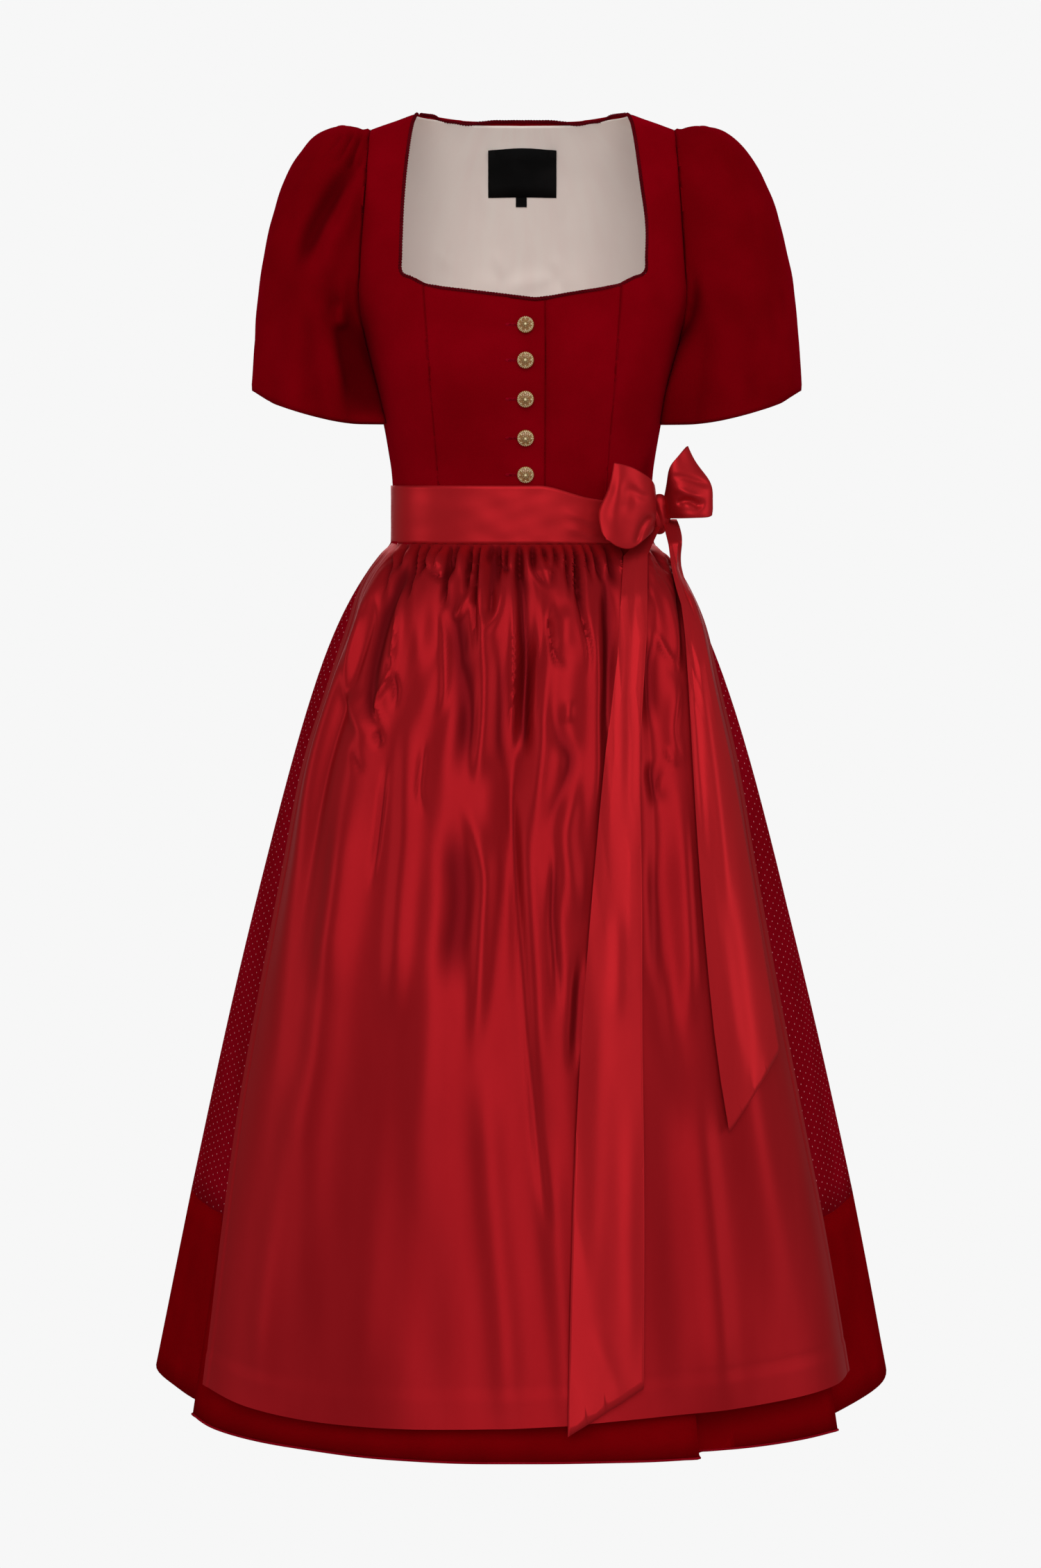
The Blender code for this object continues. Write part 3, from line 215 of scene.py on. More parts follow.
def merged_copy(node: str) -> bmesh.types.BMesh:
    """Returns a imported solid's mesh as one joined skin."""
    shape = bmesh.new()
    shape.from_mesh(frame["nodes"][node].data)
    bmesh.ops.remove_doubles(shape, verts=shape.verts, dist=MERGE)
    return shape


def add_piece(name: str, mesh: bpy.types.Mesh) -> Piece:
    """Puts a mesh in the scene as a named piece."""
    piece = bpy.data.objects.new(name, mesh)
    bpy.context.scene.collection.objects.link(piece)
    return piece


def finish_bmesh(name: str, shape: bmesh.types.BMesh) -> Piece:
    """Turns a bmesh into a smooth shaded piece and frees it.

    Args:
        name: the new piece's name.
        shape: the bmesh.

    Returns:
        The piece.
    """
    mesh = bpy.data.meshes.new(name)
    shape.to_mesh(mesh)
    shape.free()
    mesh.shade_smooth()
    mesh.set_sharp_from_angle(angle=SMOOTH_ANGLE)
    return add_piece(name, mesh)


def baked(piece: Piece) -> Piece:
    """Applies a piece's modifiers to its mesh.

    Args:
        piece: the piece, which is changed.

    Returns:
        The same piece.
    """
    evaluated = piece.evaluated_get(bpy.context.evaluated_depsgraph_get())
    mesh = bpy.data.meshes.new_from_object(evaluated)
    mesh.name = piece.name
    piece.modifiers.clear()
    piece.data = mesh
    mesh.shade_smooth()
    mesh.set_sharp_from_angle(angle=SMOOTH_ANGLE)
    return piece


def rim_edges(shape: bmesh.types.BMesh) -> list[bmesh.types.BMEdge]:
    """Returns the sharp edges of a wall of cloth, which bound its cut edge."""
    return [edge for edge in shape.edges if len(edge.link_faces) == 2 and edge.calc_face_angle() > RIM_ANGLE]


def surface_of(meshes: Iterable[bpy.types.Mesh]) -> BVHTree:
    """Returns the surface of several meshes together, for measuring distances to it.

    Args:
        meshes: the meshes.

    Returns:
        Their triangles, to cast rays at and to find the nearest place on.
    """
    shape = bmesh.new()
    for mesh in meshes:
        shape.from_mesh(mesh)
    surface = BVHTree.FromBMesh(shape)
    shape.free()
    return surface


def solids_named(*starts: str, leave: str = "") -> list[bpy.types.Mesh]:
    """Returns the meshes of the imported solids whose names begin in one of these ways, except one."""
    return [frame["nodes"][node].data for node in frame["nodes"] if node != leave and node.startswith(starts)]


def velvet_named(node: str) -> str:
    """Returns the name of the scene's piece for a velvet panel of the bodice."""
    return node.replace("bodice_", "velvet_")


def coarse_shell(node: str, name: str) -> Piece:
    """Copies a cloth solid in four-sided faces, with sharp cut edges that grow a little into the seams.

    Args:
        node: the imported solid.
        name: the new piece's name.

    Returns:
        The piece, as coarse as its solid.
    """
    shape = merged_copy(node)
    bmesh.ops.join_triangles(shape, faces=shape.faces, angle_face_threshold=JOIN_ANGLE,
                             angle_shape_threshold=math.pi, topology_influence=JOIN_SQUARENESS)
    shape.normal_update()
    rim = shape.edges.layers.float.new("crease_edge")
    for edge in rim_edges(shape):
        edge[rim] = 1.0
    pushes: dict[bmesh.types.BMVert, Vector] = {}
    for face in shape.faces:
        if sum(edge[rim] for edge in face.edges) > 1.5:
            for vertex in face.verts:
                pushes[vertex] = pushes.get(vertex, Vector()) + face.normal
    for vertex, push in pushes.items():
        vertex.co += push.normalized() * SEAM_CLOSING
    return finish_bmesh(name, shape)


def subdivide(piece: Piece, levels: int) -> tuple[Array, Array]:
    """Divides each face of a piece in four, a number of times.

    Args:
        piece: the coarse piece, which is made fine.
        levels: how many times.

    Returns:
        The fine vertices' places on the coarse piece's own flat faces, and their places on a soft form.
    """
    coarse = piece.data
    forms = []
    for kind in ("SIMPLE", "CATMULL_CLARK"):
        piece.data = coarse
        smooth = piece.modifiers.new("smooth", "SUBSURF")
        smooth.subdivision_type = kind
        smooth.levels = smooth.render_levels = levels
        forms.append(vertex_places(baked(piece)))
    return forms[0], forms[1]


def fine_shell(node: str, name: str, levels: int, straight: float = 0.0, beside: Sequence[str] = ()) -> Piece:
    """Copies a cloth solid and smooths it by subdivision, with its rims kept where they are.

    Args:
        node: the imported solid.
        name: the new piece's name.
        levels: how often each face is divided in four.
        straight: the width of the strip along its rims that keeps the solid's straight lines.
        beside: how its neighbours' names begin. Beside them it keeps the solid's form, and seams stay shut.

    Returns:
        The finer piece, with no live modifier.
    """
    piece = coarse_shell(node, name)
    plain, soft = subdivide(piece, levels)
    rim = rim_distance(piece)
    share = 1.0 - ease(0.3 * straight, straight, rim) if straight else np.zeros(len(plain))
    if not beside:
        set_places(piece, soft + (plain - soft) * share[:, None])
        return piece
    neighbours = surface_of(solids_named(*beside, leave=node))
    away = np.array([neighbours.find_nearest(Vector(place))[3] for place in plain])
    share = np.maximum(share, 1.0 - ease(*SEAM_STRIP, away))
    places = soft + (plain - soft) * share[:, None]
    for index in np.flatnonzero((rim < MERGE) & (away < SEAM_REACH)):
        to_seam = neighbours.find_nearest(Vector(places[index]))[0] - Vector(places[index])
        if to_seam.length > MERGE:
            places[index] += to_seam + to_seam.normalized() * SEAM_CLOSING
    set_places(piece, places)
    return piece


def vertex_places(piece: Piece) -> Array:
    """Returns a piece's vertices as rows of x, y and z."""
    places = np.empty(3 * len(piece.data.vertices))
    piece.data.vertices.foreach_get("co", places)
    return places.reshape(-1, 3)


def vertex_normals(piece: Piece) -> Array:
    """Returns a piece's vertex normals as rows of x, y and z."""
    normals = np.empty(3 * len(piece.data.vertices))
    piece.data.vertices.foreach_get("normal", normals)
    return normals.reshape(-1, 3)


def set_places(piece: Piece, places: Array) -> None:
    """Moves a piece's vertices to rows of x, y and z."""
    piece.data.vertices.foreach_set("co", places.ravel())
    piece.data.update()


def set_fold_shade(piece: Piece, share: Array) -> None:
    """Notes for each vertex how deep it lies in folds, from 0 to 1, where its finish paints shade."""
    piece.data.attributes.new("fold_shade", "FLOAT", "POINT").data.foreach_set("value", share.astype(np.float32))


def evened(piece: Piece, values: Array, rounds: int) -> Array:
    """Returns one value for each vertex, averaged with its neighbours' a number of times.

    Args:
        piece: the piece.
        values: one value for each vertex.
        rounds: how many times.

    Returns:
        The evened values.
    """
    ends = np.empty(2 * len(piece.data.edges), dtype=np.int32)
    piece.data.edges.foreach_get("vertices", ends)
    first, second = ends.reshape(-1, 2).T
    neighbours = np.bincount(ends, minlength=len(values))
    for _ in range(rounds):
        total = np.bincount(first, values[second], len(values))
        total += np.bincount(second, values[first], len(values))
        values = 0.5 * values + 0.5 * total / neighbours
    return values


def outward(places: Array) -> Array:
    """Returns the level directions away from the body's upright axis."""
    away = places * np.array((1.0, 1.0, 0.0))
    return away / np.maximum(np.linalg.norm(away, axis=1, keepdims=True), MERGE)


def set_uv(piece: Piece, across: Array, down: Array) -> None:
    """Gives a piece a UV map in metres of cloth, from one pair of values for each vertex.

    Args:
        piece: the piece.
        across: each vertex's place across the cloth.
        down: its place along the cloth.
    """
    layer = piece.data.uv_layers.new(name="cloth")
    corners = np.empty(len(piece.data.loops), dtype=np.int32)
    piece.data.loops.foreach_get("vertex_index", corners)
    layer.data.foreach_set("uv", np.stack([across[corners], down[corners]], axis=1).ravel())


class Hold(Enum):
    GATHERED = "gathered"
    HUNG = "hung"
    STRETCHED = "stretched"
    FOLDED = "folded"


@dataclass(frozen=True)
class Cut:
    """The flat cut of a piece of cloth: its width and length in metres, its area and how it is held."""

    width: float
    length: float
    hold: Hold
    area: float | None = None

    def declare(self, piece: Piece, *rests_on: str) -> None:
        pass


class Slot(Enum):
    """Each finish: the record's material slot that it belongs to, and what it is."""

    VELVET = ("velvet", "velvet")
    # A darker copy of the velvet for the sleeves: painted shade, as if their pile caught less light.
    SHADED_SLEEVE_VELVET = ("velvet", "velvet with its pile the other way")
    SASH_SATIN = ("apron_satin", "the apron's satin cut across its grain")
    APRON_SATIN = ("apron_satin", "apron satin")
    DOTTED_CLOTH = ("dotted_cloth", "dotted cloth")
    HEM_CLOTH = ("hem_cloth", "hem cloth")
    LINING_SATIN = ("lining_satin", "lining satin")
    PIPING = ("piping", "cord")
    BRAID = ("piping", "hem braid")
    THREAD = ("velvet", "buttonhole thread")
    GOLD = ("gold", "gold")
    LABEL_CLOTH = ("label_cloth", "label")


Finishes = dict[Slot, bpy.types.Material]


class Weave:
    """A material's nodes, with short ways to add and join them."""

    def __init__(self, slot: Slot, roughness: float) -> None:
        """Starts a material with its main shader."""
        self.material = bpy.data.materials.new(slot.name.lower())
        self.material.use_nodes = True
        self.tree = self.material.node_tree
        self.surface = self.tree.nodes["Principled BSDF"]
        self.set_surface(Roughness=roughness)

    def set_surface(self, **values: float | Colour) -> None:
        """Sets the main shader's own sockets, named with _ for a space."""
        for name, value in values.items():
            self.surface.inputs[name.replace("_", " ")].default_value = value

    def join(self, source: Socket, target: Socket) -> None:
        """Joins one socket to another."""
        self.tree.links.new(source, target)

    def node(self, kind: str, **settings: str | bool) -> bpy.types.Node:
        """Adds a node of a kind, with its settings."""
        node = self.tree.nodes.new("ShaderNode" + kind)
        for name, value in settings.items():
            setattr(node, name, value)
        return node

    def cloth_place(self, across: float, down: float, turn: float = 0.0) -> Socket:
        """Returns the place on the cloth's own UV map, stretched by a scale each way and turned in degrees.

        Args:
            across: the scale across the cloth.
            down: the scale along it.
            turn: how far it is turned.

        Returns:
            The place.
        """
        place = self.node("UVMap", uv_map="cloth")
        mapping = self.node("Mapping")
        mapping.inputs["Scale"].default_value = (across, down, 1.0)
        mapping.inputs["Rotation"].default_value = (0.0, 0.0, math.radians(turn))
        self.join(place.outputs["UV"], mapping.inputs["Vector"])
        return mapping.outputs["Vector"]

    def solid_place(self, scale: float) -> Socket:
        """Returns the place in the garment's own space, times a scale.

        Args:
            scale: the scale.

        Returns:
            The place.
        """
        place = self.node("TexCoord")
        mapping = self.node("Mapping")
        mapping.inputs["Scale"].default_value = (scale, scale, scale)
        self.join(place.outputs["Object"], mapping.inputs["Vector"])
        return mapping.outputs["Vector"]

    def noise(self, place: Socket, detail: float = 2.0) -> Socket:
        """Returns soft noise of scale 1 at a place.

        Args:
            place: the place.
            detail: how many finer layers it has.

        Returns:
            The noise, from 0 to 1.
        """
        noise = self.node("TexNoise")
        noise.inputs["Scale"].default_value = 1.0
        noise.inputs["Detail"].default_value = detail
        self.join(place, noise.inputs["Vector"])
        return noise.outputs["Fac"]

    def threads(self, place: Socket, direction: str) -> Socket:
        """Returns the rounded ribs of a thread at each 1 of a place, along one axis.

        Args:
            place: the place.
            direction: the axis along which the ribs follow each other.

        Returns:
            The ribs' height, from 0 to 1.
        """
        wave = self.node("TexWave", wave_type="BANDS", bands_direction=direction, wave_profile="SIN")
        wave.inputs["Scale"].default_value = 1.0 / BANDS_PER_UNIT
        wave.inputs["Distortion"].default_value = 0.6
        self.join(place, wave.inputs["Vector"])
        return wave.outputs["Fac"]

    def spread(self, value: Socket, low: float, high: float, start: float = 0.0, end: float = 1.0) -> Socket:
        """Returns a value run smoothly from low to high as the input goes from start to end.

        Args:
            value: the input.
            low: the result up to start.
            high: the result past end.
            start: where it starts to change.
            end: where it has changed.

        Returns:
            The result.
        """
        spread = self.node("MapRange", interpolation_type="SMOOTHSTEP")
        for name, number in (("From Min", start), ("From Max", end), ("To Min", low), ("To Max", high)):
            spread.inputs[name].default_value = number
        self.join(value, spread.inputs["Value"])
        return spread.outputs["Result"]

    def sum(self, first: Socket, second: Socket, share: float) -> Socket:
        """Returns the first value plus a share of the second.

        Args:
            first: a value.
            second: a value.
            share: the share.

        Returns:
            The sum.
        """
        adder = self.node("Math", operation="MULTIPLY_ADD")
        adder.inputs[1].default_value = share
        self.join(second, adder.inputs[0])
        self.join(first, adder.inputs[2])
        return adder.outputs["Value"]

    def blend(self, share: Socket, first: Colour | Socket, second: Colour) -> Socket:
        """Returns a colour between the first and the second.

        Args:
            share: how far it is towards the second, from 0 to 1.
            first: the colour at 0.
            second: the colour at 1.

        Returns:
            The colour.
        """
        blend = self.node("Mix", data_type="RGBA")
        self.join(share, blend.inputs["Factor"])
        for name, colour in (("A", first), ("B", second)):
            socket = [s for s in blend.inputs if s.name == name and s.type == "RGBA"][0]
            if isinstance(colour, tuple):
                socket.default_value = colour
            else:
                self.join(colour, socket)
        return [s for s in blend.outputs if s.type == "RGBA"][0]

    def with_fold_shade(self, colour: Socket, deep: Colour) -> Socket:
        """Returns a colour darkened towards a deeper one where the piece notes that it lies in folds: painted
        shade.
        """
        return self.blend(self.node("Attribute", attribute_name="fold_shade").outputs["Fac"], colour, deep)

    def colour(self, colour: Socket) -> None:
        """Gives the surface its colour."""
        self.join(colour, self.surface.inputs["Base Color"])

    def relief(self, height: Socket, depth: float, strength: float = 1.0) -> None:
        """Gives the surface a fine relief of a depth in metres.

        Args:
            height: the relief, from 0 to 1.
            depth: its depth.
            strength: how much of it shows.
        """
        bump = self.node("Bump")
        bump.inputs["Strength"].default_value = strength
        bump.inputs["Distance"].default_value = depth
        self.join(height, bump.inputs["Height"])
        self.join(bump.outputs["Normal"], self.surface.inputs["Normal"])


@dataclass(frozen=True)
class Velvet:
    """A short cotton pile: deep, matt, and a little lighter where it is brushed or turns away."""

    slot: Slot
    deep: Colour
    brushed: Colour
    # The colour painted into the folds that a piece notes: painted shade.
    fold_shade: Colour = (0.035, 0.0001, 0.0006, 1.0)
    bloom: Colour = (0.60, 0.001, 0.030, 1.0)

    def build(self) -> bpy.types.Material:
        """Returns the finish as a material."""
        weave = Weave(self.slot, 0.85)
        weave.set_surface(Specular_IOR_Level=0.0, Sheen_Weight=0.16, Sheen_Roughness=0.45,
                          Sheen_Tint=self.bloom)
        brushed = weave.noise(weave.solid_place(14.0), 3.0)
        pile = weave.noise(weave.solid_place(1700.0), 1.0)
        shade = weave.sum(brushed, pile, 0.35)
        tone = weave.blend(weave.spread(shade, 0.0, 1.0, 0.45, 0.95), self.deep, self.brushed)
        # Painted shade: the pile's tone darkens towards the fold colour where the piece notes folds.
        weave.colour(weave.with_fold_shade(tone, self.fold_shade))
        weave.relief(pile, 0.0003, 0.35)
        return weave.material


@dataclass(frozen=True)
class Satin:
    """A taffeta-like satin of long threads, with a soft coloured gloss and a faint crush.

    Light and dark are the two tones between which the cloth varies, metal is how much of its gloss is in its
    own colour, crush is the depth in metres of its finest creases and bloom its sheen. Its fold colour is the
    painted shade in the folds that a piece notes, and its glow lifts the cloth in its light tone: a painted
    glow.
    """

    slot: Slot
    light: Colour
    dark: Colour
    edge: Colour
    # The colour painted into the folds that a piece notes: painted shade.
    fold_shade: Colour
    metal: float
    roughness: float
    crush: float
    bloom: float = 0.03
    # How strongly the cloth glows in its light tone: a painted glow, for no lamp is in it.
    painted_glow: float = 0.0

    def build(self) -> bpy.types.Material:
        """Returns the finish as a material."""
        weave = Weave(self.slot, self.roughness)
        # The emission in the light tone is a painted glow that brightens the cloth where little light reaches.
        weave.set_surface(Metallic=self.metal, Specular_IOR_Level=0.10, Specular_Tint=self.edge,
                          Sheen_Weight=self.bloom, Sheen_Roughness=0.4, Sheen_Tint=self.edge,
                          Emission_Color=self.light, Emission_Strength=self.painted_glow)
        tone = weave.noise(weave.cloth_place(30.0, 7.0), 3.0)
        tone = weave.blend(weave.spread(tone, 0.0, 1.0, 0.3, 0.7), self.dark, self.light)
        # Painted shade: the tone darkens towards the fold colour where the piece notes folds.
        weave.colour(weave.with_fold_shade(tone, self.fold_shade))
        crush = weave.noise(weave.cloth_place(60.0, 16.0, 8.0), 2.0)
        across = weave.threads(weave.cloth_place(2600.0, 2600.0), "Y")
        weave.relief(weave.sum(crush, across, 0.02), self.crush)
        return weave.material


@dataclass(frozen=True)
class PinDots:
    """A fine cotton with tiny pale dots in a slanting square pattern."""

    ground: Colour = (0.275, 0.0010, 0.0080, 1.0)
    shade: Colour = (0.235, 0.0008, 0.0060, 1.0)
    dot: Colour = (0.90, 0.33, 0.36, 1.0)
    pitch: float = 0.0090
    radius: float = 0.00060
    slant: float = 45.0

    def build(self) -> bpy.types.Material:
        """Returns the finish as a material."""
        weave = Weave(Slot.DOTTED_CLOTH, 0.62)
        weave.set_surface(Specular_IOR_Level=0.0)
        tone = weave.noise(weave.cloth_place(16.0, 6.0), 2.0)
        ground = weave.blend(weave.spread(tone, 0.0, 1.0, 0.3, 0.7), self.shade, self.ground)
        dots = weave.node("TexVoronoi", voronoi_dimensions="2D", feature="F1")
        dots.inputs["Scale"].default_value = 1.0
        dots.inputs["Randomness"].default_value = 0.0
        weave.join(weave.cloth_place(1.0 / self.pitch, 1.0 / self.pitch, self.slant), dots.inputs["Vector"])
        share = self.radius / self.pitch
        dot = weave.spread(dots.outputs["Distance"], 1.0, 0.0, 0.7 * share, 1.4 * share)
        weave.colour(weave.blend(dot, ground, self.dot))
        across = weave.threads(weave.cloth_place(2200.0, 2200.0), "X")
        down = weave.threads(weave.cloth_place(2200.0, 2200.0), "Y")
        weave.relief(weave.sum(across, down, 1.0), 0.00004)
        return weave.material


@dataclass(frozen=True)
class PlainCloth:
    """A matt woven cloth in one tone, with its threads."""

    slot: Slot
    light: Colour
    dark: Colour
    roughness: float = 0.65
    pitch: float = 0.00045
    depth: float = 0.00005

    def build(self) -> bpy.types.Material:
        """Returns the finish as a material."""
        weave = Weave(self.slot, self.roughness)
        weave.set_surface(Specular_IOR_Level=0.0)
        tone = weave.noise(weave.solid_place(18.0), 2.0)
        weave.colour(weave.blend(weave.spread(tone, 0.0, 1.0, 0.3, 0.7), self.dark, self.light))
        across = weave.threads(weave.solid_place(1.0 / self.pitch), "X")
        down = weave.threads(weave.solid_place(1.0 / self.pitch), "Z")
        weave.relief(weave.sum(across, down, 1.0), self.depth)
        return weave.material


@dataclass(frozen=True)
class Gold:
    """Old gold, bright on its raised work and brown in its hollows, where the brown is painted shade."""

    bright: Colour = (1.0, 0.89, 0.52, 1.0)
    # The colour painted into the filigree's hollows: painted shade.
    hollow: Colour = (0.36, 0.15, 0.022, 1.0)

    def build(self) -> bpy.types.Material:
        """Returns the finish as a material."""
        weave = Weave(Slot.GOLD, 0.24)
        weave.set_surface(Metallic=0.15, Specular_IOR_Level=1.0, Coat_Weight=0.9, Coat_Roughness=0.10)
        raised = weave.node("Attribute", attribute_name="raised").outputs["Fac"]
        # Painted shade: the gold darkens to brown where the filigree lies low.
        weave.colour(weave.blend(weave.spread(raised, 0.0, 1.0, 0.1, 0.9), self.hollow, self.bright))
        weave.relief(weave.noise(weave.solid_place(1500.0), 2.0), 0.00005)
        return weave.material


def make_finishes() -> Finishes:
    """Returns every finish of the dirndl as a material."""
    red_edge = (0.75, 0.06, 0.09, 1.0)
    # The colour of the painted shade in the red satins' folds.
    red_fold_shade = (0.115, 0.0030, 0.0055, 1.0)
    finishes = {
        Slot.VELVET: Velvet(
            Slot.VELVET, deep=(0.215, 0.0002, 0.0037, 1.0), brushed=(0.275, 0.0003, 0.0054, 1.0)),
        # The sleeves' velvet is the bodice's painted darker: painted shade on the sleeves.
        Slot.SHADED_SLEEVE_VELVET: Velvet(
            Slot.SHADED_SLEEVE_VELVET, deep=(0.175, 0.0002, 0.0027, 1.0), brushed=(0.225, 0.0003, 0.0040, 1.0)),
        Slot.DOTTED_CLOTH: PinDots(),
        Slot.GOLD: Gold(),
        Slot.APRON_SATIN: Satin(
            Slot.APRON_SATIN, light=(0.37, 0.0102, 0.0145, 1.0), dark=(0.345, 0.0090, 0.0130, 1.0),
            edge=red_edge, fold_shade=red_fold_shade, metal=0.50, roughness=0.40, crush=0.00006),
        Slot.SASH_SATIN: Satin(
            Slot.SASH_SATIN, light=(0.495, 0.0155, 0.0205, 1.0), dark=(0.46, 0.0140, 0.0190, 1.0),
            edge=red_edge, fold_shade=red_fold_shade, metal=0.50, roughness=0.40, crush=0.00006),
        # The lining's emission is a painted glow that brightens it inside the bodice, where little light
        # reaches.
        Slot.LINING_SATIN: Satin(
            Slot.LINING_SATIN, light=(0.97, 0.85, 0.77, 1.0), dark=(0.93, 0.79, 0.72, 1.0),
            edge=(1.0, 0.95, 0.92, 1.0), fold_shade=(0.50, 0.36, 0.31, 1.0), metal=0.10, roughness=0.40,
            crush=0.0003, bloom=0.15, painted_glow=0.11),
        Slot.HEM_CLOTH: PlainCloth(
            Slot.HEM_CLOTH, light=(0.235, 0.0003, 0.0024, 1.0), dark=(0.205, 0.0003, 0.0020, 1.0)),
        Slot.PIPING: PlainCloth(
            Slot.PIPING, light=(0.150, 0.004, 0.009, 1.0), dark=(0.095, 0.002, 0.005, 1.0), depth=0.0001),
        Slot.BRAID: PlainCloth(
            Slot.BRAID, light=(0.33, 0.004, 0.012, 1.0), dark=(0.26, 0.002, 0.008, 1.0), depth=0.0001),
        Slot.THREAD: PlainCloth(
            Slot.THREAD, light=(0.36, 0.002, 0.014, 1.0), dark=(0.29, 0.001, 0.009, 1.0), depth=0.0001),
        Slot.LABEL_CLOTH: PlainCloth(
            Slot.LABEL_CLOTH, light=(0.016, 0.015, 0.015, 1.0), dark=(0.008, 0.008, 0.008, 1.0)),
    }
    return {slot: finish.build() for slot, finish in finishes.items()}


@dataclass
class Section:
    """A section of the garment's looks, which dresses its pieces in the shared finishes."""

    finishes: Finishes

    def dress(self, piece: Piece, slot: Slot, *nodes: str) -> None:
        """Gives a finished piece its material, lets it ride with the garment and puts it in its solids' place.

        Args:
            piece: the piece.
            slot: its finish.
            nodes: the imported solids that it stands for, if any.
        """
        piece.data.materials.clear()
        piece.data.materials.append(self.finishes[slot])
        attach(piece, BODY)
        if nodes:
            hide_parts(*nodes)
        LOG.info("%s: %d triangles", piece.name, sum(len(face.vertices) - 2 for face in piece.data.polygons))


def rim_distance(piece: Piece) -> Array:
    """Returns how far each vertex of a thin wall is from the wall's cut edge.

    Args:
        piece: the wall.

    Returns:
        The distances in metres.
    """
    shape = bmesh.new()
    shape.from_mesh(piece.data)
    rim = {vertex for edge in rim_edges(shape) for vertex in edge.verts}
    tree = KDTree(max(len(rim), 1))
    for index, vertex in enumerate(rim):
        tree.insert(vertex.co, index)
    tree.balance()
    distances = np.array([tree.find(vertex.co)[2] for vertex in shape.verts])
    shape.free()
    return distances


def wrap_uv(piece: Piece, radius: float, facing: float = 1.0) -> None:
    """Unrolls a piece that goes round the body onto its UV map, from the middle of the front or the back.

    Args:
        piece: the piece.
        radius: the radius that turns an angle into metres.
        facing: 1 for a piece whose middle is in front, -1 for one whose middle is behind.
    """
    places = vertex_places(piece)
    angle = np.arctan2(places[:, 0] * facing, -places[:, 1] * facing)
    set_uv(piece, angle * radius, places[:, 2])


def front_uv(piece: Piece) -> None:
    """Lays a piece's UV map flat from the front."""
    places = vertex_places(piece)
    set_uv(piece, places[:, 0], places[:, 2])


@dataclass(frozen=True)
class SoftNoise:
    """A smooth seeded unevenness, as a sum of a few slanting waves.

    Height is its depth in metres, size the length of its longest wave, and stretch how much longer waves run
    down than across.
    """

    height: float
    size: float
    stretch: float = 1.0
    seed: int = 1
    waves: int = 7

    def at(self, across: Array, down: Array) -> Array:
        """Returns the unevenness at places in the flat view.

        Args:
            across: the places' first coordinate, in metres.
            down: the places' second coordinate, in metres.

        Returns:
            The height in metres.
        """
        draw = np.random.default_rng(self.seed)
        total = np.zeros(across.shape)
        for _ in range(self.waves):
            turn, shift, scale = draw.uniform(-1.0, 1.0), draw.uniform(0.0, TURN), draw.uniform(1.0, 2.6)
            run = across * math.cos(turn) + down * math.sin(turn) / self.stretch
            total += np.sin(run * scale * TURN / self.size + shift) / scale
        return total * self.height / math.sqrt(self.waves)


@dataclass(frozen=True)
class Push:
    """A soft shift of cloth in the front view, in millimetres.

    Place is (across, down), reach how far it acts each way, and shift how far it moves the cloth at its
    middle.
    """

    place: Point
    reach: Point
    shift: Point

    def apply(self, places: Array) -> None:
        """Moves rows of x, y and z by the shift.

        Args:
            places: the rows, which are changed.
        """
        across = (places[:, 0] - self.place[0] * MM) / (self.reach[0] * MM)
        down = (places[:, 2] + self.place[1] * MM) / (self.reach[1] * MM)
        share = np.exp(-np.square(across) - np.square(down))
        places[:, 0] += self.shift[0] * MM * share
        places[:, 2] -= self.shift[1] * MM * share


